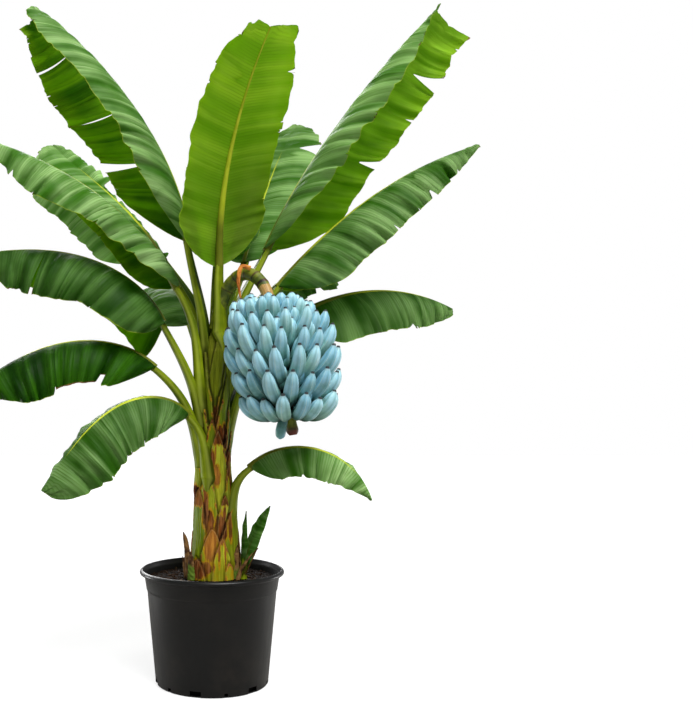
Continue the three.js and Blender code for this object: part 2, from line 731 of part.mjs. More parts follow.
let below = [];
for (let i = HANDS.length - 1; i >= 0; i -= 1) {
  const hand = clearOf(handSolid(HANDS[i], i), [dropWide, ...below]);
  addPiece(`hand_${i + 1}`, geometryOf(hand), COLOURS.fruit, 0.55);
  below = [handSolid(HANDS[i], i, GAP), ...below].slice(0, 2);
}
const [topHandWide] = below;

const placed = [stemClear, riseWide];
for (const [name, leaf] of Object.entries(LEAVES)) {
  const stalk = clearOf(solidOf(stalkGeometry(leaf)), placed);
  addPiece(`stalk_${name}`, geometryOf(stalk), COLOURS.stalk);
  placed.push(solidOf(stalkGeometry(leaf, GAP)));
  const thickness = leaf.blade * BLADE_THICKNESS;
  const blade = bladeGeometry(leaf, bladeStart(leaf), BLADE_STATIONS, BLADE_STRIPS, thickness);
  addPiece(`leaf_${name}`, blade, COLOURS.leaf, 0.5);
}

const bract = clearOf(solidOf(ribbonGeometry(BRACT, point(BRACT.facing))), [riseWide, dropWide, topHandWide]);
addPiece('bract_strip', geometryOf(bract), COLOURS.dry, 0.9);
for (const [name, sheath] of Object.entries(DRY_SHEATHS)) {
  const facing = point(sheath.way[0]).setZ(0).normalize();
  const dry = clearOf(solidOf(ribbonGeometry(sheath, facing)), [stemClear]);
  addPiece(name, geometryOf(dry), COLOURS.dry, 0.9);
}

function shootSolid() {
  const { foot, height, radius, leaves, thickness, rib, steps, sides, stations, strips } = SHOOT;
  const rings = [];
  for (let i = 0; i <= steps; i += 1) {
    const centre = point(foot).add(new THREE.Vector3(0, 0, (height * i) / steps));
    const across = lerp(...radius, i / steps);
    rings.push(tubeRing(centre, new THREE.Vector3(1, 0, 0), new THREE.Vector3(0, 1, 0), across, sides));
  }
  const blades = leaves.map((leaf) => {
    const start = point(foot).add(new THREE.Vector3(0, 0, leaf.up));
    return solidOf(bladeGeometry({ ...leaf, rib }, start, stations, strips, thickness));
  });
  return joined([solidOf(loft(rings)), ...blades]);
}
addPiece('shoot', geometryOf(shootSolid()), COLOURS.leaf, 0.5);

export default plant;
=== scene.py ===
import functools
import math
import bmesh
import bpy
import numpy as np
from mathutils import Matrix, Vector


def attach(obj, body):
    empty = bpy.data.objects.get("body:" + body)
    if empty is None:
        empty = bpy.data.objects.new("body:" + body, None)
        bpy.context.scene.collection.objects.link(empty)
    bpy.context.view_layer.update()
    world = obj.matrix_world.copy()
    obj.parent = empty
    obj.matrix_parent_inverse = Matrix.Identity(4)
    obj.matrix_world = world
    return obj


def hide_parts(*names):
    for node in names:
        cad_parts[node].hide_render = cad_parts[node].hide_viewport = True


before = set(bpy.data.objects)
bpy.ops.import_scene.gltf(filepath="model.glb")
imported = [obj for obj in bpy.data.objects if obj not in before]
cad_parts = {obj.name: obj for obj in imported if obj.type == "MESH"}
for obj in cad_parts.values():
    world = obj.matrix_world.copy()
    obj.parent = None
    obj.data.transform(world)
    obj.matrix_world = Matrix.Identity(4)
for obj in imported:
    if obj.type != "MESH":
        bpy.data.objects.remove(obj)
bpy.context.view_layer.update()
scene = bpy.context.scene

# Photograph: its frame, and the camera that took it.
PHOTO = {"width": 693, "height": 709, "focal": 875, "axis_x": 212, "horizon_y": 407}
EYE = (0.0, -2.625, 0.820)
SENSOR = 0.036

# Pot: outer radii and heights, wall and rolled rim.
POT_TOP = 0.337
POT_FOOT_RADIUS = 0.163
POT_BODY = {"low": 0.169, "low_height": 0.008, "high": 0.1934, "high_height": 0.2735}
POT_BAND = {"low": 0.1963, "low_height": 0.281, "high": 0.202, "high_height": 0.318}
POT_RIM_RADIUS = 0.216
POT_WALL = 0.004
POT_FOOT_ROUND = 0.006
POT_BEAD = {"outer": 0.0060, "inner": 0.0022}
POT_FLOOR = 0.003
# Radius of the circle that the outline is swept along.
POT_SWEEP = 0.2
# Drain notches at the foot, large and small by turns. turn is a share of the way
# to the next one, recess how far they reach into the wall, and small the share
# of the width and of the height that every second one has.
POT_NOTCHES = {
    "count": 12, "turn": 0.457, "width": 0.033, "height": 0.019, "recess": 0.005, "small": (0.34, 0.72),
    "cutter": 0.06}
SOIL_TOP = 0.310
SOIL_EDGE = 0.306
SOIL_CLEARANCE = 0.0008
SOIL_STEPS = (0.013, 0.241, 0.266)
SOIL_MESH = {"around": 96, "rings": 44, "waves": 26}

# Stem: a flat cut on the soil, then a flared foot and a slow taper, with a step in
# over each of two heights where old sheaths end.
STEM_TAPER = [
    (0.310, 0.071), (0.345, 0.070), (0.391, 0.067), (0.470, 0.061), (0.541, 0.056), (0.620, 0.052),
    (0.691, 0.0495), (0.770, 0.0485), (0.841, 0.048), (0.920, 0.046), (0.985, 0.042), (1.030, 0.033),
    (1.052, 0.018),
]
STEM_STEPS = [(0.56, 0.66), (0.74, 0.84)]
STEM_STEP_DEPTH = 0.005
STEM_LEAN = {"foot": 0.004, "rise": 0.700, "shift": 0.008}
SHEATH_RELIEF = 0.035
SHEATH_TWIST = 5.2
STEM_MESH = {"around": 280, "rows": 350}
# Sheath of a living leaf: how far it reaches above the leaf's foot, half the
# angle that it wraps there and at the most, how fast it widens, its brown top.
LIVING_SHEATH = {"above": 0.03, "half": 0.30, "most": 3.3, "widening": 8.5, "brown": 0.004}
OLD_SHEATH_HALF = 0.02

# Leaf stalks and blades, by the rule of the frame's solids.
STALK_INSET = 0.012
STALK_LEAST_OUT = 0.006
STALK_PULL = 0.4
STALK_STEPS = 26
STALK_SUNK = 0.6
SHEATH_BASE = [(0.15, 0.008, 0.004), (0.10, 0.006, 0.0100), (0.05, 0.008, 0.0180), (0.0, 0.012, 0.0260)]
NECK_LINE_X = 0.006
BLADE_SHOULDER = 0.16
BLADE_TAPER = 0.64
BLADE_BLUNTNESS = 0.48
BLADE_ENDS = 0.07
VEIN_LEAN = 12
SPLAY_REACH = 0.3
RIB_BASE = 0.0130
RIB_TIP = 0.0018
RIB_SUNK = 0.62
RIB_POINTS = 96

# Leaves. heading is the compass angle from +X, foot the height where the stalk
# leaves the stem, neck the distance from the stem's axis and the height where
# the blade starts. rise holds the climb at the foot, the neck, the middle and
# the tip of the blade. left and right hold each half's slope at the rib and at
# the edge, and its share of the half width. A tear is a side, a place along the
# blade, its depth and how far it opens. A bite is a side, its start and end and
# the share of the width that it takes. tone is how light the upper side is, lit
# how much light comes through, both let through and painted into the blade's
# colour as a brighter, flatter green, and wave how high the edge ripples.
# Some leaves have traits of their own: shoulder, taper, how blunt they end and
# with what share of the width at the tip, how far the veins lean to the tip and
# splay back at the neck, the roll about the rib at the neck and at the tip, and
# torn, with the lean kept up to the tip. A pair, roll apart, is for the left
# and the right half. crest is how far each half's end stands out beside the rib
# and at the edge. round turns the stalk's foot round the stem, and sunk is how
# far down its sheath stays proud of the stem.
LEAVES = {
    "top_mid": dict(
        heading=316, foot=1.040, neck=(0.014, 1.238), rise=(88, 91, 72, 56), blade=0.700, half=0.160,
        left=(-5, 15, 1.18), right=(-5, 15, 1.1), taper=0.55, blunt=0.4, lean=(20, 4), tip=(0.6, 0.6),
        torn=True, crest=((0.058, -0.012), (0.004, -0.045)), tone=0.6, lit=1.0, wave=0.004,
        tears=[(1, 0.70, 0.06, 0.004), (-1, 0.80, 0.12, 0.005)]),
    "back_high": dict(
        heading=82, foot=1.030, neck=(0.070, 1.270), rise=(84, 72, 56, 36), blade=0.780, half=0.145,
        left=(0, 60, 1), right=(0, 60, 1), tone=0.5, wave=0.012,
        tears=[(1, 0.7, 0.5, 0.012), (-1, 0.5, 0.3, 0.01)]),
    "top_left": dict(
        heading=165, foot=1.000, neck=(0.075, 1.316), rise=(85, 82, 54.5, 41), blade=0.930, half=0.200,
        left=(-15, 55, 1), right=(25, 105, 1.42), taper=(0.6, 0.45), blunt=(0.6, 0.5), lean=26,
        tip=(0.07, 0.4), torn=True, tone=0.95, wave=0.010,
        tears=[(1, 0.81, 0.62, 0.005), (1, 0.52, 0.6, 0.007), (1, 0.29, 0.6, 0.012), (-1, 0.83, 0.1, 0.005)]),
    "top_right": dict(
        heading=15, foot=1.000, neck=(0.158, 1.299), rise=(76, 65, 53, 46), blade=1.000, half=0.200,
        left=(25, 105, 1.35), right=(-15, 55, 0.97), shoulder=(0.16, 0.35), taper=(0.64, 0.4),
        blunt=(0.48, 1.3), lean=26, tip=(0.72, 0.07), torn=True, tone=0.95, lit=0.4, wave=0.011,
        tears=[(-1, 0.77, 0.42, 0.006), (-1, 0.38, 0.25, 0.007), (-1, 0.6, 0.1, 0.004)]),
    "back_right": dict(
        heading=65, foot=0.990, neck=(0.230, 1.290), rise=(78, 56, 50, 38), blade=0.790, half=0.140,
        left=(-5, 30, 1), right=(-5, 30, 1), tone=0.7, wave=0.009,
        tears=[(1, 0.74, 0.55, 0.016), (-1, 0.6, 0.3, 0.01)]),
    "back_left": dict(
        heading=135, foot=0.980, neck=(0.220, 1.290), rise=(78, 50, 36, 37), blade=0.790, half=0.150,
        left=(5, 85, 1.4), right=(-55, -10, 0.32), tip=(0.3, 0.07), tone=0.95, wave=0.007, nicks=2,
        tears=[(-1, 0.72, 0.3, 0.008)], bites=[(1, 0.02, 0.55, 0.85)]),
    "right_high": dict(
        heading=8, foot=0.930, neck=(0.190, 1.187), rise=(75, 49, 36, 17), blade=0.800, half=0.180,
        left=(-10, 95, 1), right=(15, 90, 1), taper=0.3, blunt=0.8, tone=0.6, wave=0.014,
        tears=[(1, 0.66, 0.2, 0.006), (1, 0.43, 0.12, 0.005), (1, 0.84, 0.1, 0.004)]),
    "back_right_low": dict(
        heading=42, foot=0.890, neck=(0.180, 1.140), rise=(78, 46, 20, -8), blade=0.390, half=0.115,
        left=(0, 80, 1), right=(0, 80, 1), tone=0.45, wave=0.009, tears=[(1, 0.5, 0.3, 0.01)]),
    "back_mid": dict(
        heading=112, foot=0.840, neck=(0.190, 1.085), rise=(80, 52, 12, -26), blade=0.600, half=0.140,
        left=(0, 80, 1), right=(0, 80, 1), tone=0.4, wave=0.012, tears=[(-1, 0.55, 0.4, 0.012)]),
    "left_high": dict(
        heading=188, foot=0.820, neck=(0.104, 1.176), rise=(82, 61, 36, 15), blade=0.720, half=0.150,
        left=(5, 90, 1), right=(25, 75, 0.8), taper=(0.6, 0.25), blunt=(0.9, 1.1), roll=(20, -25), tone=0.95,
        wave=0.018, tears=[(-1, 0.83, 0.12, 0.006), (-1, 0.38, 0.1, 0.005)]),
    "left_mid": dict(
        heading=185, foot=0.760, neck=(0.147, 1.074), rise=(82, 64, 13, -14), blade=0.680, half=0.180,
        left=(10, 95, 1.12), right=(30, 95, 0.85), shoulder=(0.16, 0.05), taper=(0.3, 0.64),
        blunt=(0.8, 0.48), tip=0.25, roll=(10, -30), splay=(15, 40), tone=0.2, wave=0.018, sunk=0.3,
        tears=[(-1, 0.62, 0.8, 0.006), (1, 0.5, 0.2, 0.005)]),
    "right_mid": dict(
        heading=20, foot=0.750, neck=(0.313, 1.129), rise=(76, 26, 2, -23), blade=0.550, half=0.160,
        left=(-10, 95, 1), right=(35, 95, 1.04), taper=0.2, blunt=0.5, splay=(-12, 20), tone=0.42, wave=0.012,
        tears=[(1, 0.6, 0.08, 0.01), (-1, 0.5, 0.3, 0.012)]),
    "back_low": dict(
        heading=72, foot=0.700, neck=(0.190, 0.920), rise=(80, 46, 0, -45), blade=0.520, half=0.130,
        left=(0, 85, 1), right=(0, 85, 1), tone=0.35, wave=0.012, tears=[(1, 0.55, 0.3, 0.012)]),
    "left_low": dict(
        heading=192, foot=0.660, neck=(0.174, 0.941), rise=(80, 42, -10, -40), blade=0.560, half=0.150,
        left=(20, 95, 1.17), right=(-10, 85, 1), tone=0.02, wave=0.012, tears=[(1, 0.5, 0.2, 0.006)],
        bites=[(-1, 0.25, 0.57, 0.09), (-1, 0.20, 0.25, 0.27)]),
    "left_lowest": dict(
        heading=207, foot=0.610, neck=(0.078, 0.797), rise=(84, 48, -34, -52), blade=0.570, half=0.150,
        left=(25, 95, 1.04), right=(-10, 85, 1), tone=0.45, wave=0.014, round=38, sunk=0.36,
        tears=[(-1, 0.7, 0.06, 0.004), (1, 0.6, 0.2, 0.006)],
        bites=[(-1, 0.30, 0.33, 0.08), (-1, 0.13, 0.15, 0.1)]),
    "right_low": dict(
        heading=-15, foot=0.490, neck=(0.104, 0.645), rise=(84, 42, -14, -72), blade=0.445, half=0.110,
        left=(-10, 95, 1), right=(30, 95, 0.96), taper=0.35, blunt=0.8, tone=1.0, wave=0.012, sunk=0.5,
        tears=[(1, 0.37, 0.07, 0.008), (1, 0.62, 0.05, 0.006)]),
}

# Blades: one step of the mesh along them and the strips of each half, how thick
# they are, how long a ripple is, and the nicks and scallops of their edges.
BLADE_STEP = 0.005
BLADE_STRIPS = 22
BLADE_THICKNESS = 0.0014
RIPPLE_LENGTH = 0.082
NICKS_PER_METRE = 10
SCALLOP = {"length": 0.045, "depth": 0.05}

# Bunch: the stalk's way up out of the crown, over and down, then the hands.
BUNCH_RISE = [(0.012, 0, 1.053), (0.024, -0.006, 1.115), (0.050, -0.020, 1.178), (0.084, -0.048, 1.208)]
BUNCH_TOP = (0.114, -0.076, 1.206)
BUNCH_DROP = [(0.140, -0.102, 1.182), (0.156, -0.128, 1.148), (0.162, -0.148, 1.112)]
BUNCH_STALK = (0.021, 0.019, 0.017)
RACHIS_TOP = (0.162, -0.148, 1.112)
RACHIS_END = (0.229, -0.158, 0.741)
RACHIS_RADIUS = (0.018, 0.017)
RACHIS_SWELLING = [(0, 1), (0.88, 0.90), (0.93, 0.94), (0.965, 1.06), (0.985, 0.96), (1, 0.62)]
# Scars of bracts round the bunch stalk: place along it, half width, darkness.
BRACT_SCARS = [(0.34, 0.010, 0.5), (0.48, 0.010, 0.7), (0.60, 0.009, 0.8), (0.70, 0.009, 0.8),
    (0.80, 0.014, 1.0)]
HANDS = [
    {"at": 0.17, "reach": 0.66, "lift": 12},
    {"at": 0.30, "reach": 0.88, "lift": 6},
    {"at": 0.43, "reach": 0.97, "lift": 2},
    {"at": 0.56, "reach": 0.97, "lift": -2},
    {"at": 0.69, "reach": 0.89, "lift": -6},
    {"at": 0.82, "reach": 0.76, "lift": -10},
]
HAND_LEVEL = 0.9
FINGER_START = 0.025
FINGER_LENGTH = 0.186
FINGER_RADIUS = 0.0190
FINGER_ROWS = [
    {"turn": 0.0, "reach": 1.0, "curve": (-18, 84), "rise": 0.0, "count": 16},
    {"turn": 0.5, "reach": 0.70, "curve": (2, 88), "rise": 0.022, "count": 12},
]
# How far a finger is turned, tipped and rolled by chance, in radians, and its size.
FINGER_CHANCE = {"spin": 0.07, "tip": 0.09, "roll": 0.07, "size": (0.93, 1.05)}
FINGER_SHAPE = [
    (0.0, 0.40), (0.1, 0.46), (0.22, 0.74), (0.36, 0.95), (0.52, 1.0), (0.70, 0.97), (0.82, 0.85),
    (0.90, 0.64), (0.945, 0.40), (0.97, 0.25), (1.0, 0.21),
]
CUSHION = {"radius": 0.032, "height": 0.024}

# Small late finger that hangs beside the end of the rachis: its way and radii.
LATE_FINGER = {
    "way": [(0.208, -0.166, 0.802), (0.199, -0.176, 0.780), (0.193, -0.180, 0.757), (0.190, -0.180, 0.730)],
    "girth": [(0, 0.006), (0.15, 0.011), (0.4, 0.0140), (0.7, 0.0150), (0.86, 0.0138), (0.94, 0.0105),
        (1, 0.003)],
}

# Dry strips, each a list of ribbons: the sheath ends at the stem's foot and the
# strip on the bunch stalk. green is how green the lower end still is.
DRY_STRIPS = {
    "sheath_left": [
        dict(way=[(-0.071, -0.034, 0.3103), (-0.073, -0.037, 0.360), (-0.077, -0.040, 0.410),
            (-0.085, -0.044, 0.452)],
             half=0.0135, facing=(-0.5, -0.86, 0), curl=1.3, green=0.1, ragged=1.0, blunt=5),
        dict(way=[(-0.060, -0.048, 0.3103), (-0.061, -0.051, 0.340), (-0.062, -0.053, 0.372),
            (-0.064, -0.054, 0.395)],
             half=0.0125, facing=(-0.3, -0.95, 0), curl=0.8, green=1.0, ragged=0.6, blunt=3),
        dict(way=[(-0.079, -0.020, 0.3103), (-0.082, -0.022, 0.335), (-0.085, -0.024, 0.360),
            (-0.089, -0.026, 0.378)],
             half=0.0080, facing=(-0.6, -0.8, 0), curl=1.2, green=0.0, ragged=1.0)],
    "sheath_right": [
        dict(way=[(0.084, 0.022, 0.3103), (0.084, 0.020, 0.370), (0.080, 0.018, 0.430),
            (0.074, 0.016, 0.490)],
             half=0.011, facing=(1, 0.26, 0), curl=1.2, green=0.0, ragged=0.8),
        dict(way=[(0.070, -0.032, 0.3103), (0.072, -0.034, 0.345), (0.073, -0.035, 0.380),
            (0.076, -0.038, 0.412)],
             half=0.013, facing=(0.5, -0.86, 0), curl=1.0, green=0.5, ragged=0.8, blunt=3),
        dict(way=[(0.076, -0.050, 0.3103), (0.086, -0.050, 0.340), (0.102, -0.050, 0.366),
            (0.122, -0.048, 0.392)],
             half=0.0085, facing=(0.2, -0.98, 0), curl=1.2, green=0.0, ragged=0.8)],
    "bract_strip": [
        dict(way=[(0.112, -0.094, 1.221), (0.086, -0.092, 1.2255), (0.077, -0.096, 1.190),
            (0.080, -0.100, 1.150), (0.087, -0.104, 1.116)],
             half=0.0072, facing=(-0.3, -1, 0), curl=0.6, green=0.0, ragged=0.4)],
}
STRIP_MESH = {"rows": 46, "columns": 13, "thickness": 0.0011}
SHOOT_FOOT = (0.092, -0.026, 0.3103)
SHOOT_STEM = {"height": 0.060, "radius": (0.013, 0.002)}
SHOOT_LEAVES = [
    dict(heading=60, up=0.050, rise=(0, 86, 84, 70), blade=0.150, half=0.013, left=(10, 40, 1),
         right=(10, 40, 1), taper=0.2, blunt=0.9, tone=0.5, fine=3),
    dict(heading=-14, up=0.036, rise=(0, 74, 66, 56), blade=0.200, half=0.027, left=(0, 20, 1),
         right=(0, 20, 1), roll=(50, 66), taper=0.3, blunt=0.85, tone=0.55, fine=3),
    dict(heading=-34, up=0.006, rise=(0, 50, 66, 44), blade=0.104, half=0.008, left=(0, 40, 1),
         right=(0, 40, 1), roll=(30, 60), taper=0.3, blunt=0.8, tone=0.3, fine=3, dead=1.0),
    dict(heading=-60, up=0.002, rise=(0, 60, 70, 66), blade=0.070, half=0.009, left=(0, 50, 1),
         right=(0, 50, 1), roll=(20, 40), taper=0.3, blunt=0.8, tone=0.5, fine=3, dead=0.25),
]

# Old leaf sheaths round the stem's foot, cut or torn off: heading, height of the
# point, how fast they widen from it in radians a metre, half the angle that they
# wrap at the most, the height of their brown top, how orange and papery they
# are, and how yellow.
OLD_SHEATHS = [
    (258, 0.786, 8, 0.90, 0.014, 0.0, 0.25), (281, 0.752, 9, 1.10, 0.052, 0.1, 0.95),
    (336, 0.690, 8, 0.80, 0.040, 0.2, 0.6), (246, 0.640, 8, 0.80, 0.030, 0.3, 0.50),
    (214, 0.580, 12, 0.60, 0.062, 0.3, 0.12), (303, 0.560, 10, 0.45, 0.036, 0.2, 1.0),
    (332, 0.535, 7, 0.50, 0.024, 0.4, 0.70), (266, 0.466, 11, 0.62, 0.030, 0.6, 0.90),
    (293, 0.436, 10, 0.50, 0.022, 0.4, 1.0), (230, 0.374, 12, 0.50, 0.060, 0.1, 0.30),
    (312, 0.362, 16, 0.26, 0.010, 0.5, 1.0), (20, 0.600, 8, 0.95, 0.045, 0.3, 0.4),
    (62, 0.660, 8, 0.90, 0.050, 0.1, 0.5), (112, 0.560, 7, 1.00, 0.060, 0.5, 0.5),
    (150, 0.640, 8, 0.90, 0.050, 0.2, 0.4), (82, 0.470, 8, 1.00, 0.060, 0.9, 0.8),
    (172, 0.450, 9, 0.80, 0.060, 0.4, 0.3), (8, 0.440, 9, 0.80, 0.045, 0.6, 0.7),
    (130, 0.740, 8, 0.80, 0.040, 0.2, 0.5), (36, 0.760, 8, 0.80, 0.040, 0.2, 0.5),
    (55, 0.390, 10, 0.6, 0.030, 0.5, 0.9), (130, 0.380, 10, 0.6, 0.030, 0.4, 0.8),
]

# Brown patches on the stem: heading, height, half width as an angle, half
# height, strength, and whether they are orange rather than maroon.
STEM_PATCHES = [
    (308, 0.735, 0.22, 0.036, 1.0, 0.0), (290, 0.748, 0.16, 0.020, 0.8, 0.1),
    (268, 0.800, 0.12, 0.022, 0.9, 0.1), (276, 0.790, 0.14, 0.026, 0.7, 0.9),
    (262, 0.655, 0.14, 0.036, 0.95, 0.0), (277, 0.620, 0.22, 0.034, 0.8, 0.9),
    (322, 0.655, 0.14, 0.044, 0.9, 0.0), (244, 0.520, 0.16, 0.050, 0.95, 0.0),
    (258, 0.480, 0.20, 0.036, 1.0, 0.0), (290, 0.462, 0.30, 0.040, 1.0, 0.0),
    (262, 0.415, 0.26, 0.050, 0.9, 1.0), (300, 0.505, 0.10, 0.030, 0.7, 0.1),
    (205, 0.560, 0.30, 0.028, 1.0, 0.0), (228, 0.342, 0.45, 0.026, 1.0, 0.0),
    (255, 0.350, 0.20, 0.020, 0.8, 0.3), (318, 0.470, 0.12, 0.050, 0.8, 0.3),
    (284, 0.400, 0.08, 0.060, 0.6, 0.4), (300, 0.390, 0.06, 0.050, 0.6, 0.2),
    (240, 0.590, 0.10, 0.050, 0.8, 0.0), (272, 0.680, 0.08, 0.040, 0.5, 0.6),
    (330, 0.600, 0.10, 0.050, 0.8, 0.1), (40, 0.500, 0.30, 0.050, 0.9, 0.3),
    (100, 0.640, 0.30, 0.040, 0.8, 0.1), (140, 0.470, 0.30, 0.060, 0.9, 0.8),
    (75, 0.760, 0.20, 0.040, 0.7, 0.0), (170, 0.560, 0.25, 0.050, 0.8, 0.3),
]


# Node trees are written as arithmetic on fields, which adds their nodes.

class Field:
    """A number, vector or colour that a node tree works out."""

    def __init__(self, socket):
        self.socket = socket
        self.tree = socket.id_data

    def apply(self, operation, *others):
        vector = self.socket.type == "VECTOR"
        made = self.tree.nodes.new("ShaderNodeVectorMath" if vector else "ShaderNodeMath")
        made.operation = operation
        for place, value in zip(made.inputs, (self, *others)):
            feed(place, value)
        return Field(made.outputs[1 if operation in ("LENGTH", "DOT_PRODUCT") else 0])

    def scaled(self, factor):
        made = self.tree.nodes.new("ShaderNodeVectorMath")
        made.operation = "SCALE"
        feed(made.inputs[0], self)
        feed(made.inputs["Scale"], factor)
        return Field(made.outputs[0])

    def then(self, kind, inputs=None, **settings):
        """The next geometry node, with this geometry as its first input."""
        return field_of(self.tree, "GeometryNode" + kind, {0: self, **(inputs or {})}, **settings)

    def split(self):
        made = self.tree.nodes.new("ShaderNodeSeparateXYZ")
        feed(made.inputs[0], self)
        return [Field(out) for out in made.outputs]

    def __rsub__(self, other):
        return (self * -1.0) + other


OPERATIONS = {
    "__add__": "ADD", "__radd__": "ADD", "__sub__": "SUBTRACT", "__mul__": "MULTIPLY", "__rmul__": "MULTIPLY",
    "__truediv__": "DIVIDE", "__pow__": "POWER", "sine": "SINE", "cosine": "COSINE", "absolute": "ABSOLUTE",
    "root": "SQRT", "fraction": "FRACT", "over": "GREATER_THAN", "under": "LESS_THAN",
    "cross": "CROSS_PRODUCT"}
for method, operation in OPERATIONS.items():
    setattr(Field, method, functools.partialmethod(Field.apply, operation))


def feed(socket, value):
    """Links a field to a socket, or sets the socket's own value."""
    if isinstance(value, Field):
        socket.id_data.links.new(value.socket, socket)
    else:
        socket.default_value = value


def add_node(tree, kind, inputs=None, **settings):
    made = tree.nodes.new(kind)
    for name, value in settings.items():
        setattr(made, name, value)
    for place, value in (inputs or {}).items():
        feed(made.inputs[place], value)
    return made


def field_of(tree, kind, inputs=None, out=0, **settings):
    return Field(add_node(tree, kind, inputs, **settings).outputs[out])


def ramp(value, low, high, to_low=0.0, to_high=1.0):
    """value's place between low and high, eased, as a number between the other two."""
    return field_of(
        value.tree, "ShaderNodeMapRange", {0: value, 1: low, 2: high, 3: to_low, 4: to_high},
        interpolation_type="SMOOTHSTEP")


def vector_of(tree, x, y, z):
    return field_of(tree, "ShaderNodeCombineXYZ", {0: x, 1: y, 2: z})


def noise_at(place, scale, detail=2.0, roughness=0.5):
    """Smooth noise around 0.5 at a place given as a vector field."""
    return field_of(place.tree, "ShaderNodeTexNoise", {
        "Vector": place, "Scale": scale, "Detail": detail, "Roughness": roughness})


def patchy(place, scale, low, high, detail=2.0, roughness=0.5):
    """Soft patches: noise that is 0 below one value and 1 above the other."""
    return ramp(noise_at(place, scale, detail, roughness), low, high)


def blend(factor, first, second):
    """A colour between two colours. The factor is a field."""
    made = add_node(factor.tree, "ShaderNodeMix", {0: factor, 6: first, 7: second}, data_type="RGBA")
    return Field(made.outputs[2])


def coated(skin, *coats):
    """A colour under coats, each a strength and a colour, from the lowest to the uppermost."""
    for strength, colour in coats:
        skin = blend(strength, skin, colour)
    return skin


SOCKETS = {float: "NodeSocketFloat", int: "NodeSocketInt", tuple: "NodeSocketVector"}
GEOMETRY = "NodeSocketGeometry"
MATERIAL = "NodeSocketMaterial"
NOWHERE = (0.0, 0.0, 0.0)
NUMBER = "NodeSocketFloat"


def new_tree(name, kind, inputs, outputs):
    """A node tree with named inputs and outputs, and fields for its inputs."""
    tree = bpy.data.node_groups.new(name, kind)
    for label, default in inputs.items():
        given = isinstance(default, str)
        kind_of = default if given else SOCKETS[type(default)]
        socket = tree.interface.new_socket(label, in_out="INPUT", socket_type=kind_of)
        if not given:
            socket.default_value = default
    for label, kind_of in outputs.items():
        tree.interface.new_socket(label, in_out="OUTPUT", socket_type=kind_of)
    source = tree.nodes.new("NodeGroupInput")
    return tree, {out.name: Field(out) for out in source.outputs if out.name}


def shape_tree(name, inputs):
    """A geometry tree with named inputs, and fields for them."""
    return new_tree(name, "GeometryNodeTree", inputs, {"Geometry": GEOMETRY})


def finish_shape(tree, parts, crease):
    """Ends a geometry tree: each (geometry, material) is made real, smoothed up to a crease and painted."""
    join = tree.nodes.new("GeometryNodeJoinGeometry")
    for geometry, material in parts:
        made = geometry.then("RealizeInstances")
        sharp = field_of(tree, "GeometryNodeInputMeshEdgeAngle").over(math.radians(crease))
        made = made.then("SetShadeSmooth", {2: True})
        made = made.then("SetShadeSmooth", {1: sharp, 2: False}, domain="EDGE")
        made = made.then("SetMaterial", {2: material})
        tree.links.new(made.socket, join.inputs[0])
    tree.links.new(join.outputs[0], tree.nodes.new("NodeGroupOutput").inputs[0])


def chance(given, low, high, salt):
    """A random number for each element, by the seed of its tree and a salt of its own."""
    seed = given["Seed"] + salt
    return field_of(seed.tree, "FunctionNodeRandomValue", {2: low, 3: high, 8: seed}, out=1,
        data_type="FLOAT")


def turned_by(angles):
    return field_of(angles.tree, "FunctionNodeEulerToRotation", {0: angles})


def copies_on(points, thing, angles, scale):
    """Copies of a thing on points, each turned by angles and scaled by a vector."""
    return field_of(points.tree, "GeometryNodeInstanceOnPoints", {
        "Points": points, "Instance": thing, "Rotation": turned_by(angles), "Scale": scale})


def transformed(geometry, **inputs):
    return geometry.then("Transform", inputs)


def keep(geometry, name, value, kind="FLOAT", domain="POINT"):
    """Stores a field on a geometry under a name."""
    return geometry.then("StoreNamedAttribute", {2: name, 3: value}, data_type=kind, domain=domain)


def recall(tree, name, kind="FLOAT"):
    return field_of(tree, "GeometryNodeInputNamedAttribute", {0: name}, data_type=kind)


def grown(name, tree, pattern=None, **sizes):
    """A plain mesh object, made by a geometry tree from its named inputs."""
    start = bpy.data.objects.new(name, pattern or bpy.data.meshes.new(name))
    scene.collection.objects.link(start)
    modifier = start.modifiers.new("grow", "NODES")
    modifier.node_group = tree
    for socket in tree.interface.items_tree:
        label = socket.name.lower().replace(" ", "_")
        if socket.in_out == "INPUT" and label in sizes:
            modifier[socket.identifier] = sizes[label]
    seen = start.evaluated_get(bpy.context.evaluated_depsgraph_get())
    mesh = bpy.data.meshes.new_from_object(seen)
    start.modifiers.remove(modifier)
    bpy.data.objects.remove(start)
    drop_empty_slots(mesh)
    return place_mesh(name, mesh)


def drop_empty_slots(mesh):
    """Takes the slots without a material out of a mesh, and numbers its faces' slots again."""
    kept = [slot for slot, material in enumerate(mesh.materials) if material]
    if len(kept) == len(mesh.materials):
        return
    materials = [mesh.materials[slot] for slot in kept]
    numbers = np.zeros(len(mesh.polygons), dtype=np.int32)
    mesh.polygons.foreach_get("material_index", numbers)
    place_of = np.zeros(len(mesh.materials), dtype=np.int32)
    place_of[kept] = np.arange(len(kept))
    mesh.materials.clear()
    for material in materials:
        mesh.materials.append(material)
    mesh.polygons.foreach_set("material_index", place_of[numbers])


def place_mesh(name, mesh):
    mesh.name = name
    piece = bpy.data.objects.new(name, mesh)
    scene.collection.objects.link(piece)
    return piece


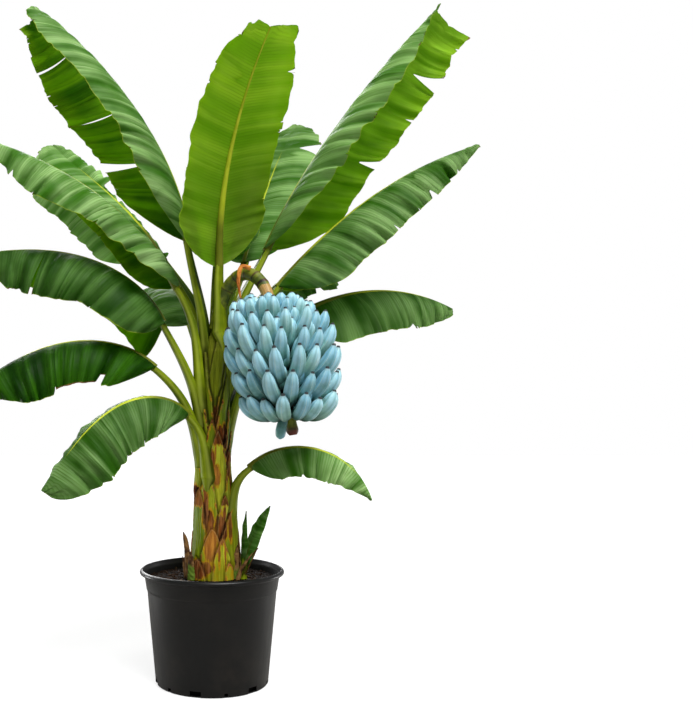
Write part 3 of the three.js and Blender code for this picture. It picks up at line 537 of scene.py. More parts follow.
def mesh_of(name, corners, faces=(), attributes=None, material=None, edges=()):
    """A mesh from arrays of corners and faces or edges, with named numbers or vectors on its corners."""
    mesh = bpy.data.meshes.new(name)
    mesh.from_pydata([tuple(map(float, p)) for p in corners], edges, [tuple(map(int, f)) for f in faces])
    for label, values in (attributes or {}).items():
        values = np.asarray(values, dtype=np.float32)
        kind, field = ("FLOAT", "value") if values.ndim == 1 else ("FLOAT_VECTOR", "vector")
        mesh.attributes.new(label, kind, "POINT").data.foreach_set(field, values.ravel())
    if material:
        mesh.materials.append(material)
        mesh.shade_smooth()
    mesh.update()
    return mesh


def outward(mesh):
    """Turns the faces of a closed mesh to point out of it."""
    shape = bmesh.new()
    shape.from_mesh(mesh)
    bmesh.ops.recalc_face_normals(shape, faces=shape.faces)
    shape.to_mesh(mesh)
    shape.free()
    return mesh


def side_by_side(*parts):
    """Arrays and numbers as the columns of one table, with a row for each corner."""
    return np.stack(np.broadcast_arrays(*parts), axis=-1).reshape(-1, len(parts))


def tube_faces(index):
    """Faces of a grid of corner numbers, one row for each ring."""
    following = np.roll(index, -1, axis=1)
    return side_by_side(index[:-1], following[:-1], following[1:], index[1:]).tolist()


def capped_faces(index, foot, tip):
    """Faces of a tube that closes in a corner at each end."""
    first, last = index[0], index[-1]
    return (tube_faces(index) + side_by_side(foot, np.roll(first, -1), first).tolist()
            + side_by_side(tip, last, np.roll(last, -1)).tolist())


def settle(piece, slot, *nodes):
    """A finished piece rides with the plant and stands for its nodes; its slot is not used."""
    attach(piece, "root")
    if nodes:
        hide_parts(*nodes)


def joined(name, pieces):
    """Several objects as one."""
    with bpy.context.temp_override(active_object=pieces[0], selected_editable_objects=pieces):
        bpy.ops.object.join()
    pieces[0].name = name
    return pieces[0]


def between(pairs, place):
    """Value at a place in a list of (place, value) pairs."""
    places, values = zip(*pairs)
    return np.interp(place, places, values)


def smooth(value, low, high):
    share = np.clip((np.asarray(value, dtype=float) - low) / (high - low), 0, 1)
    return share * share * (3 - 2 * share)


def wander(places, seed):
    """Smooth seeded noise between about -1 and 1 along one axis."""
    dice = np.random.default_rng(seed)
    total = np.zeros_like(places, dtype=float)
    for octave in range(3):
        knots = dice.uniform(-1, 1, 512)
        total += np.interp(places * 2 ** octave, np.arange(512), knots) / 2 ** octave
    return total / 1.5


# Paint

def paint(red, green, blue):
    """Linear colour of a swatch mixed as red, green and blue out of 255."""
    def linear(part):
        part /= 255
        return part / 12.92 if part <= 0.04045 else ((part + 0.055) / 1.055) ** 2.4
    return (linear(red), linear(green), linear(blue), 1.0)


def effect(name, inputs, *results):
    """Starts a shader node group that puts out numbers. They are set with give()."""
    return new_tree(name, "ShaderNodeTree", inputs, {label: NUMBER for label in results})


def give(tree, **results):
    end = tree.nodes.new("NodeGroupOutput")
    for label, value in results.items():
        feed(end.inputs[label], value)


def use(group, inputs):
    """Places an effect in the tree of its place and returns its outputs as fields."""
    tree = inputs["Place"].tree
    made = add_node(tree, "ShaderNodeGroup", node_tree=group)
    for label, value in inputs.items():
        feed(made.inputs[label], value)
    return {out.name: Field(out) for out in made.outputs}


def fibre_effect():
    """Fine fibres that run one way: a mask and a height."""
    tree, given = effect(
        "fibres", {"Place": NOWHERE, "Across": 400.0, "Along": 12.0, "Patchiness": 0.5},
        "Mask", "Height")
    x, y, z = given["Place"].split()
    place = vector_of(tree, x * given["Across"], y * given["Across"], z * given["Along"])
    fine = noise_at(place, 1.0, 3.0, 0.65)
    coarse = noise_at(place.scaled(0.22), 1.0)
    patches = noise_at(given["Place"], 18.0)
    mask = ramp(fine * 0.6 + coarse * 0.4, 0.42, 0.62)
    kept = patches * given["Patchiness"] + (given["Patchiness"] * -1.0 + 1.0)
    give(tree, Mask=mask * kept, Height=fine * 0.5 + coarse * 0.5)
    return tree


def vein_effect():
    """Parallel veins of a blade, with bands of painted light and shade across it and a painted shade line in
    each crease of its pleats. Place is along the rib, across it, and the share of the way to the edge.
    """
    tree, given = effect(
        "veins", {"Place": NOWHERE, "Spacing": 0.0085},
        "Line", "Band", "Streak", "Pleat", "Crease", "Height")
    along, across, share = given["Place"].split()

    def strips(rate, across_rate, layer, detail=1.0, roughness=0.5):
        return noise_at(vector_of(tree, along * rate, across * across_rate, layer), 1.0, detail, roughness)

    wave = ((along / given["Spacing"] + strips(30.0, 6.0, 0.0) * 1.2) * math.tau).sine()
    near_rib = ramp(share, 0.15, 0.85, 1.0, 0.25)
    streak = strips(420.0, 9.0, 0.0, 2.0, 0.6)
    turn = (along * 22.0 + strips(10.0, 0.8, 20.0) * 6.0).fraction()
    strong = ramp(strips(12.0, 2.0, 40.0), 0.38, 0.62)
    # As colour, the band, pleat and crease outputs are painted light and shade: broad bands, and pleats that
    # rise slowly and drop sharply with a dark line in each crease. Pleat is also relief.
    give(tree, Line=ramp(wave, 0.2, 0.95) * near_rib,
         Band=ramp(strips(17.0, 0.9, 0.0), 0.3, 0.7), Streak=streak,
         Pleat=ramp(turn, 0.0, 0.90) * ramp(turn, 1.0, 0.95) * strong,
         Crease=ramp((turn - 0.97).absolute(), 0.07, 0.0) * strong,
         Height=wave * 0.35 * near_rib + streak)
    return tree


def wither_effect():
    """Ragged patches of dry tissue that grow from a strength of 0 to 1."""
    tree, given = effect("withering", {"Place": NOWHERE, "Strength": 0.0, "Scale": 60.0}, "Mask")
    speckle = noise_at(given["Place"], given["Scale"], 4.0, 0.65)
    give(tree, Mask=ramp(speckle * 0.9 + given["Strength"] * 1.3, 0.86, 1.05))
    return tree


FIBRES = fibre_effect()
VEINS = vein_effect()
WITHERING = wither_effect()


def fibres_of(place, across, along):
    """Mask and height of the fibres at a place."""
    fibres = use(FIBRES, {"Place": place, "Across": across, "Along": along})
    return fibres["Mask"], fibres["Height"]


def withered(place, strength, scale):
    return use(WITHERING, {"Place": place, "Strength": strength, "Scale": scale})["Mask"]


def new_material(name, **constants):
    material = bpy.data.materials.new(name)
    material.use_nodes = True
    tree = material.node_tree
    shader = tree.nodes["Principled BSDF"]
    for label, value in constants.items():
        shader.inputs[label.replace("_", " ")].default_value = value
    return material, tree, shader


def read(tree, name, out="Vector"):
    """A named attribute of the surface."""
    return field_of(tree, "ShaderNodeAttribute", out=out, attribute_name=name)


def object_place(tree):
    return field_of(tree, "ShaderNodeTexCoord", out="Object")


def dress(shader, colour, roughness, height, strength, distance):
    """Sets the colour, the roughness and the relief of a surface."""
    bump = field_of(shader.id_data, "ShaderNodeBump",
        {"Height": height, "Strength": strength, "Distance": distance})
    for label, value in (("Base Color", colour), ("Roughness", roughness), ("Normal", bump)):
        feed(shader.inputs[label], value)


def mix_surface(tree, factor, first, second, end="Material Output"):
    """Ends a tree in two shaders, mixed by a factor."""
    mixed = field_of(tree, "ShaderNodeMixShader",
        {0: factor, 1: Field(first.outputs[0]), 2: Field(second.outputs[0])})
    feed(tree.nodes[end].inputs["Surface"], mixed)


def leaf_material():
    """Blade: satin green above, yellower below, with parallel veins, a pale edge and dry nicks. Painted into
    the colour are bands of light and shade across its pleats with a dark line in each crease, shade towards
    the middle of the crown, and, over the underside's own yellow-green, light coming through it.
    """
    material, tree, shader = new_material("leaf_skin", Specular_IOR_Level=0.07)
    place = read(tree, "blade")
    look, dry, under = read(tree, "look").split()
    lit = read(tree, "lit", "Fac")
    share = place.split()[2]
    spot = object_place(tree)
    x, y, _ = spot.split()
    veins = use(VEINS, {"Place": place})
    line, crease = veins["Line"], veins["Crease"]
    streak = ramp(veins["Streak"], 0.52, 0.70)
    cloud = patchy(spot, 9.0, 0.34, 0.66)
    # Painted light and shade: broad bands and pleats across the blade, with some random patches of tone, set
    # how far each side goes from its dark green to its light green.
    painted_light = ramp(veins["Band"] * 0.46 + veins["Pleat"] * 0.34 + cloud * 0.20, 0.04, 0.90)
    # Painted light: leaves with light coming through them get a brighter, flatter mix.
    painted_light = painted_light * (lit * -0.42 + 1.0) + lit * 0.24
    deep = blend(look, paint(4, 30, 0), paint(62, 118, 20))
    light = blend(look, paint(44, 90, 6), paint(190, 226, 150))
    # Painted shade: a dark line in each crease of the pleats. The veins and streaks are the blade's own
    # colour.
    upper = coated(deep, (painted_light, light), (crease * 0.55, deep), (line * 0.60, deep), (streak * 0.45, deep))
    # Underside: its own yellow-green, brightened by painted light coming through on lit leaves, with painted
    # shade in each crease.
    lower = coated(
        paint(44, 92, 0), (painted_light, paint(124, 172, 12)),
        (lit * 0.8, blend(painted_light, paint(148, 202, 0), paint(224, 252, 110))),
        (crease * 0.4, paint(40, 84, 0)),
        (streak * (lit * -0.25 + 0.40), paint(34, 76, 0)),
        (line * 0.2, paint(160, 198, 46)),
        (ramp(share, 0.72, 1.0) * 0.5, paint(150, 192, 14)))
    # Painted shade near the middle of the crown, where the blades shade one another.
    crown_shade = ramp((x * x + y * y).root(), 0.34, 0.06)
    brown = withered(place, dry, 160.0)
    dead = blend(cloud * 0.5 + veins["Streak"] * 0.5, paint(70, 44, 16), paint(170, 130, 74))
    skin = coated(
        upper, (under, lower), (crown_shade * (under * 0.35 + 0.3), paint(16, 44, 0)),
        (ramp(share, 0.987, 0.996), paint(176, 194, 64)), (brown, dead))
    roughness = ramp(veins["Streak"], 0.3, 0.7, 0.42, 0.56) + under * 0.08 + brown * 0.25
    dress(shader, skin, roughness, veins["Height"] + veins["Pleat"] * 5.0, 0.6, 0.0008)
    through = coated(
        paint(120, 182, 0), (painted_light, paint(166, 224, 8)),
        (lit * 0.7, blend(painted_light, paint(160, 214, 0), paint(232, 252, 80))),
        (line * 0.35, paint(120, 170, 0)), (brown, paint(90, 60, 25)))
    glow = add_node(tree, "ShaderNodeBsdfTranslucent", {"Color": through})
    mix_surface(tree, lit * 0.20 + 0.36, shader, glow)
    return material


def stalk_material(name, light, dark, groove):
    """Stalk or rib: smooth yellow-green with fine lengthwise fibres, painted shade on its flanks near its
    start and a painted highlight along one side.
    """
    material, tree, shader = new_material(name, Specular_IOR_Level=0.1)
    along, around, channel = read(tree, "sweep").split()
    fibres, height = fibres_of(vector_of(tree, around * 0.02, around * 0.013, along), 900.0, 14.0)
    cloud = patchy(object_place(tree), 14.0, 0.35, 0.65, 3.0)
    flank = patchy(vector_of(tree, around * 0.9, along * 2.5, 7.0), 1.0, 0.36, 0.64)
    # Painted shade on both flanks near its start, where a stalk comes out of the stem and a rib out of its
    # stalk.
    crease = ramp(around.cosine().absolute(), 0.70, 1.0) * ramp(along, 0.20, 0.10)
    # Painted highlight: a pale stripe along one side.
    pale = ramp((around.sine() - 0.35).absolute(), 0.50, 0.0)
    skin = coated(
        light, (cloud * 0.5 + flank * 0.5, dark), (fibres * 0.5, dark), (crease * 0.8, paint(34, 40, 0)),
        (pale * 0.4, paint(190, 204, 80)), (channel, groove))
    dress(shader, skin, ramp(height, 0.3, 0.7, 0.36, 0.52), height, 0.35, 0.0006)
    return material


def stem_material():
    """Stem of overlapping sheaths, each with its own green, with brown dry edges and patches."""
    material, tree, shader = new_material("sheath_skin", Specular_IOR_Level=0.08)
    place = object_place(tree)
    x, y, z = place.split()
    tint, dry, shade = read(tree, "sheath").split()
    warm, low, margin = read(tree, "warmth").split()
    fibres, height = fibres_of(place, 330.0, 9.0)
    streaks = patchy(vector_of(tree, x * 120.0, y * 120.0, z * 7.0), 1.0, 0.36, 0.64, 3.0, 0.6)
    lengthwise = vector_of(tree, x, y, z * 0.3)
    green = coated(
        paint(86, 124, 4), (tint, paint(218, 220, 62)),
        (streaks * 0.6, blend(tint, paint(50, 78, 0), paint(132, 142, 8))),
        (patchy(place, 14.0, 0.35, 0.65, 3.0) * 0.3, paint(140, 144, 4)),
        (low * 0.6, paint(146, 134, 10)), (fibres * 0.45, paint(56, 66, 6)))
    papery = blend(streaks * 0.6 + fibres * 0.4, paint(226, 156, 64), paint(118, 56, 14))
    brown = coated(
        paint(30, 8, 2), (patchy(lengthwise, 110.0, 0.38, 0.62, 3.0), paint(116, 54, 24)),
        (ramp(streaks, 0.55, 0.95) * 0.7, paint(168, 112, 64)), (warm, papery))
    patch = withered(lengthwise, dry * 0.94, 190.0)
    halo = withered(lengthwise, dry * 1.35, 110.0)
    skin = coated(
        green, (halo * 0.75, paint(196, 140, 20)), (patch, brown), (margin * 0.7, paint(190, 164, 104)),
        ((shade * 1.1).apply("MINIMUM", 0.86), paint(20, 10, 0)))
    relief = height + patch * 0.5 + streaks * 0.4
    dress(shader, skin, ramp(height, 0.3, 0.7, 0.38, 0.55) + patch * 0.3, relief, 0.7, 0.001)
    return material


def dry_material(name, light, dark):
    """Dead sheath or bract: papery, ribbed lengthwise, with what is still green at its foot."""
    material, tree, shader = new_material(name, Specular_IOR_Level=0.2)
    place = read(tree, "strip")
    fibres, height = fibres_of(place, 700.0, 16.0)
    cloud = patchy(object_place(tree), 45.0, 0.35, 0.65, 3.0)
    fresh = blend(fibres, paint(112, 142, 44), paint(70, 96, 28))
    skin = coated(
        light, (cloud, dark), (fibres * 0.7, dark), (ramp(place.split()[1] + cloud * 0.2, 0.3, 0.6), fresh))
    dress(shader, skin, ramp(height, 0.3, 0.7, 0.6, 0.9), height, 0.8, 0.0008)
    return material


def fruit_material():
    """Fruit skin: powder blue bloom, greener towards the stalk, pale ridges and a dark tip, with painted
    shade on each finger's lower part, where the fingers crowd together.
    """
    material, tree, shader = new_material("fruit_bloom", Specular_IOR_Level=0.36)
    along, ridge, _ = read(tree, "finger").split()
    tint = read(tree, "tint", "Fac")
    place = object_place(tree)
    bloom = patchy(place, 60.0, 0.35, 0.65, 4.0, 0.6)
    broad = patchy(place, 22.0, 0.35, 0.65)
    tip = ramp(along, 0.962, 0.975)
    skin = coated(
        blend(tint, paint(92, 150, 138), paint(144, 194, 174)),
        (ramp(along + broad * 0.3, 0.52, 1.08), blend(tint, paint(130, 188, 214), paint(176, 226, 240))),
        (bloom * 0.28, paint(178, 218, 224)),
        (ramp(ridge, 0.5, 0.1) * 0.35, paint(70, 128, 124)),
        (ramp(ridge, 0.80, 0.98) * 0.6, paint(208, 232, 218)),
        # Painted shade in the gaps among the crowded fingers: each finger darkens towards its foot.
        (ramp(along, 0.64, 0.26) * 0.95, paint(12, 40, 28)),
        (ramp(along, 0.16, 0.02), paint(44, 66, 30)),
        (patchy(place, 420.0, 0.66, 0.72) * 0.35, paint(70, 92, 96)),
        (ramp(along, 0.92, 0.96) * 0.5, paint(150, 178, 176)),
        (tip * 0.95, paint(40, 32, 32)))
    roughness = ramp(bloom, 0.0, 1.0, 0.40, 0.55) + tip * 0.3
    dress(shader, skin, roughness, bloom + noise_at(place, 260.0), 0.25, 0.0005)
    return material


def rachis_material():
    """Bunch stalk: olive and smooth, ringed by tan scars of fallen bracts, with a dark cut end."""
    material, tree, shader = new_material("rachis_skin", Specular_IOR_Level=0.42)
    along, around, _ = read(tree, "sweep").split()
    scar, cut, frayed = read(tree, "scar").split()
    fibres, height = fibres_of(vector_of(tree, around * 0.03, around * 0.021, along), 700.0, 14.0)
    place = object_place(tree)
    cloud = patchy(place, 40.0, 0.35, 0.65, 3.0)
    skin = coated(
        paint(66, 82, 8), (cloud, paint(124, 132, 28)), (fibres * 0.4, paint(40, 46, 6)),
        (withered(place, frayed, 130.0), blend(fibres, paint(196, 158, 92), paint(120, 82, 38))),
        (ramp(scar, 0.15, 0.6), blend(cloud, paint(22, 14, 4), paint(84, 48, 18))),
        (cut, blend(cloud, paint(36, 10, 6), paint(104, 44, 24))))
    dress(shader, skin, ramp(height, 0.3, 0.7, 0.4, 0.6), height, 0.5, 0.0008)
    return material


def pot_material():
    """Nursery pot: satin black plastic, slightly dusty, with a fine moulded grain, a smooth bead,
    and painted shade, near black, on the inner wall and in the drain notches."""
    material, tree, shader = new_material("black_plastic", Specular_IOR_Level=0.28)
    place = object_place(tree)
    x, y, height = place.split()
    out = (x * x + y * y).root()
    dust = patchy(place, 7.0, 0.45, 0.75, 4.0, 0.6) * ramp(height, 0.0, 0.16, 0.3, 0.08)
    # Painted shade: the inner wall above the soil and the faces in the drain notches are painted near black.
    inside = ramp(out - height * 0.154, 0.1530, 0.1510) * ramp(height, 0.290, 0.300)
    notch = ramp(out - height * 0.07, 0.1680, 0.1672) * ramp(height, 0.0205, 0.0196)
    skin = coated(paint(14, 14, 14), (dust, paint(62, 54, 46)),
        (inside.apply("MAXIMUM", notch), paint(3, 3, 3)))
    rub = noise_at(vector_of(tree, x * 60.0, y * 60.0, height * 9.0), 1.0, 3.0)
    bead = ramp(height, POT_TOP - 0.020, POT_TOP - 0.014)
    plain = bead * -1.0 + 1.0
    roughness = ramp(rub, 0.3, 0.7, 0.36, 0.46) * plain + bead * 0.32 + inside * 0.5
    dress(shader, skin, roughness, (noise_at(place, 900.0) + rub * 0.5) * plain, 0.12, 0.0004)
    return material


def soil_material(name, dark, light):
    """Potting soil and its chips: brown and matt, with painted shade, near black, low down where only the
    drain notches show it.
    """
    material, tree, shader = new_material(name, Specular_IOR_Level=0.05)
    place = object_place(tree)
    clump = patchy(place, 150.0, 0.3, 0.7, 4.0, 0.7)
    # Painted shade: near black low in the pot, where only the drain notches show the soil.
    skin = coated(dark, (clump, light), (ramp(place.split()[2], 0.05, 0.03), paint(2, 2, 1)))
    dress(shader, skin, ramp(clump, 0.0, 1.0, 0.95, 0.75), clump, 0.9, 0.003)
    return material


LEAF = leaf_material()
STALK = stalk_material("stalk_skin", paint(142, 158, 20), paint(68, 88, 0), paint(52, 72, 8))
RIB = stalk_material("rib_skin", paint(206, 212, 56), paint(150, 166, 14), paint(160, 186, 86))
STEM = stem_material()
DRY = dry_material("dead_sheath", paint(158, 118, 70), paint(58, 32, 14))
BRACT = dry_material("dry_bract", paint(226, 148, 66), paint(164, 88, 30))
FRUIT = fruit_material()
RACHIS = rachis_material()
POT = pot_material()
SOIL = soil_material("dark_soil", paint(8, 4, 1), paint(28, 17, 10))
CHIPS = soil_material("bark_chips", paint(24, 15, 10), paint(66, 46, 32))
STRAW = soil_material("straw_bits", paint(70, 48, 30), paint(150, 116, 78))


# Leaves

def trait_of(leaf, trait, side, plain):
    """One trait of a leaf's halves, as an array like side: the leaf's own value, or that of a plain blade."""
    value = leaf.get(trait, plain)
    left, right = value if isinstance(value, tuple) else (value, value)
    return np.where(side < 0, left, right)


def half_width_share(leaf, side, along):
    """Outline of a blade: its half width as a share of the widest."""
    taper = trait_of(leaf, "taper", side, BLADE_TAPER)
    widening = np.sqrt(1 - (1 - np.clip(along / trait_of(leaf, "shoulder", side, BLADE_SHOULDER), 0, 1)) ** 2)
    past = np.clip((along - taper) / (1 - taper), 0, 1)
    narrowing = (1 - past ** 2) ** trait_of(leaf, "blunt", side, BLADE_BLUNTNESS)
    return np.maximum(widening, BLADE_ENDS) * np.maximum(narrowing, trait_of(leaf, "tip", side, BLADE_ENDS))


def vein_swing(leaf, side, along):
    """How far a vein swings forward, how much of it stays across, and how its half rolls about the rib."""
    full = trait_of(leaf, "lean", side, VEIN_LEAN)
    splay = trait_of(leaf, "splay", side, None) if "splay" in leaf else -full
    back = np.clip(1 - along / SPLAY_REACH, 0, 1)
    lean = np.radians(full * (1 - back) - splay * back)
    forward = np.sin(lean) * (1 if leaf.get("torn") else np.minimum(1, (1 - along) * 3))
    at_neck, at_tip = leaf.get("roll", (0, 0))
    roll = np.radians(at_neck + (at_tip - at_neck) * along) * side
    return np.stack([forward, np.cos(lean), roll], axis=-1)


def small_tears(leaf, seed):
    """Short seeded tears and nicks along both edges."""
    dice = np.random.default_rng(seed)
    nicks = []
    for _ in range(int(leaf["blade"] * leaf.get("nicks", NICKS_PER_METRE))):
        nicks.append((dice.choice([-1, 1]), dice.uniform(0.12, 0.95), dice.uniform(0.015, 0.06),
            dice.uniform(0.001, 0.003)))
    return nicks


def blade_pattern(name, leaf, seed, nicked):
    """Flat pattern of a blade with its tears: x runs from neck to tip and y from edge to edge, as shares."""
    length = leaf["blade"]
    tears = list(leaf.get("tears", [])) + (small_tears(leaf, seed) if nicked else [])
    stations = list(np.linspace(0, 1, max(12, int(length / BLADE_STEP))))
    slit = 0.0004 / length
    for _, at, _, _ in tears:
        stations = [u for u in stations if abs(u - at) > 2 * slit]
        stations += [at - slit, at + slit]
    stations = np.array(sorted(stations))
    shares = np.linspace(-1, 1, 2 * BLADE_STRIPS + 1)
    along, across = np.meshgrid(stations, shares, indexing="ij")
    share = np.abs(across)
    side = np.where(across < 0, -1, 1)
    reach = half_width_share(leaf, side, along)
    swing = vein_swing(leaf, side, along)
    scallop = wander(along * length / SCALLOP["length"] + side * 40 + 60, seed + 1)
    reach = reach * (1 + SCALLOP["depth"] * scallop * smooth(along, 0.02, 0.2) * nicked)
    moved = along.copy()
    frayed = 0.5 + 0.5 * wander(along * length / 0.02 + side * 31 + 90, seed + 2)
    dry = 0.35 * smooth(share, 0.95, 1.0) * frayed
    for bite_side, start, end, depth in leaf.get("bites", []):
        bitten = ((side == bite_side) * smooth(along, start - 0.004, start + 0.004)
                  * smooth(along, end + 0.004, end - 0.004))
        reach = reach * (1 - depth * bitten)
        dry += 0.5 * bitten * smooth(share, 0.95, 1.0)
    droop = np.zeros_like(along)
    for tear_side, at, depth, opening in tears:
        on_side = side == tear_side
        torn = np.clip((share - (1 - depth)) / depth, 0, 1) * on_side
        away = (along - at) * length
        spread = opening / length * torn ** 0.8 * np.exp(-np.abs(away) / (0.02 + opening * 2.5))
        moved += np.where(away > 0, spread, -spread)
        dry += 0.5 * smooth(torn, 0.35, 1.0) * np.exp(-np.abs(away) / 0.003)
        lobe = np.random.default_rng(int(at * 1e4)).uniform(-0.12, 0.16)
        droop += on_side * torn * lobe * np.exp(-np.abs(away) / 0.05) * np.sign(away) * min(1, depth * 3)
    ragged = 0.010 / length * wander(across * 9 + 20, seed + 3) * smooth(along, 0.9, 1.0) * nicked
    moved += ragged
    if "crest" in leaf:
        beside, edge = (np.where(side < 0, leaf["crest"][0][k], leaf["crest"][1][k]) for k in range(2))
        crest = beside * smooth(share, 0, 0.14) * (1 - share) + edge * share ** 3
        moved += crest / length * smooth(along, 0.90, 1.0)
    dry += 0.3 * smooth(along, 0.965, 1.0) * nicked + leaf.get("dead", 0)
    rows, columns = along.shape
    index = np.arange(rows * columns).reshape(rows, columns)
    faces = np.stack([index[:-1, :-1], index[:-1, 1:], index[1:, 1:], index[1:, :-1]], axis=-1)
    kept = np.ones(faces.shape[:2], bool)
    middle = (shares[:-1] + shares[1:]) / 2
    for tear_side, at, depth, _ in tears:
        row = int(np.searchsorted(stations, at)) - 1
        kept[row] &= ~((np.sign(middle) == tear_side) & (np.abs(middle) > 1 - depth))
    half = leaf["half"] * leaf["right"][2]
    fine = leaf.get("fine", 1)
    return mesh_of(name, side_by_side(moved, across, 0.0), faces[kept].reshape(-1, 4), {
        "lit": np.full(along.size, leaf.get("lit", 0.0)),
        "blade": side_by_side(along * length * fine, across * half * fine, share),
        "look": side_by_side(leaf.get("tone", 0.4), dry, 0.0),
        "reach": reach.ravel(), "droop": droop.ravel(), "swing": swing.reshape(-1, 3)})


def path_along(tree, points, step):
    """Curve through places that are summed up from a step field."""
    line = field_of(tree, "GeometryNodeCurvePrimitiveLine", {0: (0, 0, 0), 1: (1, 0, 0)})
    line = line.then("ResampleCurve", {2: points + 1})
    sums = add_node(tree, "GeometryNodeAccumulateField", {0: step}, data_type="FLOAT_VECTOR")
    return line.then("SetPosition", {2: Field(sums.outputs[1])})


def blade_tree():
    """Lays a flat pattern on a rib that climbs by three angles, folds and ripples it and thickens it."""
    tree, given = shape_tree("leaf_blade", {
        "Pattern": GEOMETRY, "Start": NOWHERE, "Heading": 0.0, "Length": 0.7, "Half Width": 0.15,
        "Climb": NOWHERE, "Left": (0.0, 1.0, 1.0), "Right": (0.0, 1.0, 1.0), "Fineness": 1.0,
        "Ripple Height": 0.01, "Ripple Length": RIPPLE_LENGTH, "Thickness": BLADE_THICKNESS,
        "Rib Base": RIB_BASE, "Rib Tip": RIB_TIP, "Seed": 0.0, "Skin": MATERIAL, "Rib Skin": MATERIAL})
    heading = given["Heading"]
    out = vector_of(tree, heading.cosine(), heading.sine(), 0.0)
    right = vector_of(tree, heading.sine(), heading.cosine() * -1.0, 0.0)
    up = vector_of(tree, 0.0, 0.0, 1.0)

    factor = field_of(tree, "GeometryNodeSplineParameter") + 0.5 / RIB_POINTS
    neck, middle, tip = given["Climb"].split()
    rest = factor * -1.0 + 1.0
    climb = neck * rest * (factor * -2.0 + 1.0) + middle * 4.0 * factor * rest
    climb = climb + tip * factor * (factor * 2.0 - 1.0)
    step = out.scaled(climb.cosine()) + up.scaled(climb.sine())
    rib = path_along(tree, RIB_POINTS, step.scaled(given["Length"] / RIB_POINTS))

    u, v, _ = field_of(tree, "GeometryNodeInputPosition").split()
    sample = add_node(tree, "GeometryNodeSampleCurve", {"Curves": rib, "Factor": u}, mode="FACTOR")
    centre = Field(sample.outputs["Position"]) + given["Start"]
    along = Field(sample.outputs["Tangent"])
    face = right.cross(along)

    share = v.absolute()
    side = v.apply("SIGN")
    is_right = v.over(0.0)
    half = given["Left"] + (given["Right"] - given["Left"]).scaled(is_right)
    at_rib, at_edge, part = half.split()
    forward, level, roll = recall(tree, "swing", "FLOAT_VECTOR").split()
    at_rib = at_rib + roll
    at_edge = at_edge + roll
    turn = at_edge - at_rib
    slope = at_rib + turn * share
    width = given["Half Width"] * part * recall(tree, "reach")
    across = (slope.sine() - at_rib.sine()) / turn * width
    down = (at_rib.cosine() - slope.cosine()) / turn * width
    place = centre + right.scaled(side * across * level) + face.scaled(down * level * -1.0)
    place = place + along.scaled(forward * width * share)
    normal = right.scaled(side * slope.sine()) + face.scaled(slope.cosine())

    metre = u * given["Length"]

    def swell(rate, across_rate, salt):
        place = vector_of(tree, metre * rate, v * across_rate + side * 3.0, given["Seed"] + salt)
        return (noise_at(place, 1.0, 1.0) - 0.5) * 2.0

    drift = swell(8.0, 0.0, 0.0)
    wave = ((metre / given["Ripple Length"] + drift * 1.3) * math.tau).sine()
    strong = ramp(swell(7.0, 0.0, 11.0), -0.35, 0.45, 0.2, 1.2)
    margin = (wave * strong * 0.9 + swell(26.0, 0.25, 5.0) * 1.6) * share ** 1.7 * ramp(u, 0.0, 0.12)
    folds = (swell(16.0, 0.6, 3.0) * 1.5 + swell(44.0, 0.3, 9.0) * 0.60) * ramp(share, 0.02, 0.5)
    fine = swell(120.0, 0.3, 13.0) * 0.20 * ramp(share, 0.05, 0.4)
    sag = recall(tree, "droop") * width * share * -1.0
    lift = given["Ripple Height"] * (margin + folds + fine) + sag
    laid = given["Pattern"].then("SetPosition", {2: place + normal.scaled(lift)})

    look = recall(tree, "look", "FLOAT_VECTOR")
    flat_u, flat_v, _ = recall(tree, "blade", "FLOAT_VECTOR").split()
    unrolled = flat_u / (given["Length"] * given["Fineness"]) * 0.96 + 0.02
    flat_share = flat_v / (given["Half Width"] * given["Fineness"] * 2.9) * 0.96
    thick = laid.then("ExtrudeMesh", {"Offset Scale": given["Thickness"], "Individual": False}, mode="FACES")
    shell = tree.nodes.new("GeometryNodeJoinGeometry")
    faces_down = laid.then("FlipFaces")
    for skin, below, shelf in ((thick, 0.0, 0.25), (faces_down, 1.0, 0.75)):
        skin = keep(skin, "look", look + vector_of(tree, 0.0, 0.0, below), "FLOAT_VECTOR", "CORNER")
        skin = keep(skin, "OFBake", vector_of(tree, unrolled, flat_share + shelf, 0.0), "FLOAT2", "CORNER")
        tree.links.new(skin.socket, shell.inputs[0])
    closed = field_of(tree, "GeometryNodeMergeByDistance", {0: Field(shell.outputs[0]), 2: 0.00001})

    left_over = (field_of(tree, "GeometryNodeSplineParameter") * -1.0 + 1.0) ** 1.35
    radius = left_over * (given["Rib Base"] - given["Rib Tip"]) + given["Rib Tip"]
    reach = field_of(tree, "GeometryNodeSplineParameter", out=1)
    bone = keep(rib, "sweep", vector_of(tree, reach, 0.0, 0.0), "FLOAT_VECTOR")
    tangent = field_of(tree, "GeometryNodeInputTangent")
    lower_by = right.cross(tangent).scaled(radius * -RIB_SUNK)
    bone = bone.then("SetPosition", {3: lower_by + given["Start"]})
    bone = bone.then("SetCurveNormal", {2: right}, mode="FREE")
    profile = field_of(tree, "GeometryNodeCurvePrimitiveCircle", {"Resolution": 12, "Radius": 1.0})
    rib_body = bone.then("CurveToMesh", {1: profile, 2: radius, 3: True})
    finish_shape(tree, [(closed, given["Skin"]), (rib_body, given["Rib Skin"])], 60)
    return tree


def stem_axis(height):
    shift = STEM_LEAN["shift"] * (height - SOIL_TOP) / STEM_LEAN["rise"]
    return Vector((STEM_LEAN["foot"] + shift, 0, height))


def way_at(rise, heading):
    """Direction that climbs at an angle on a heading, both in degrees."""
    climb = math.radians(rise)
    turn = math.radians(heading)
    return Vector((math.cos(climb) * math.cos(turn), math.cos(climb) * math.sin(turn), math.sin(climb)))


def foot_out(height):
    """Distance from the stem's axis at which a leaf stalk begins."""
    return max(between(STEM_TAPER, height) - STALK_INSET, STALK_LEAST_OUT)


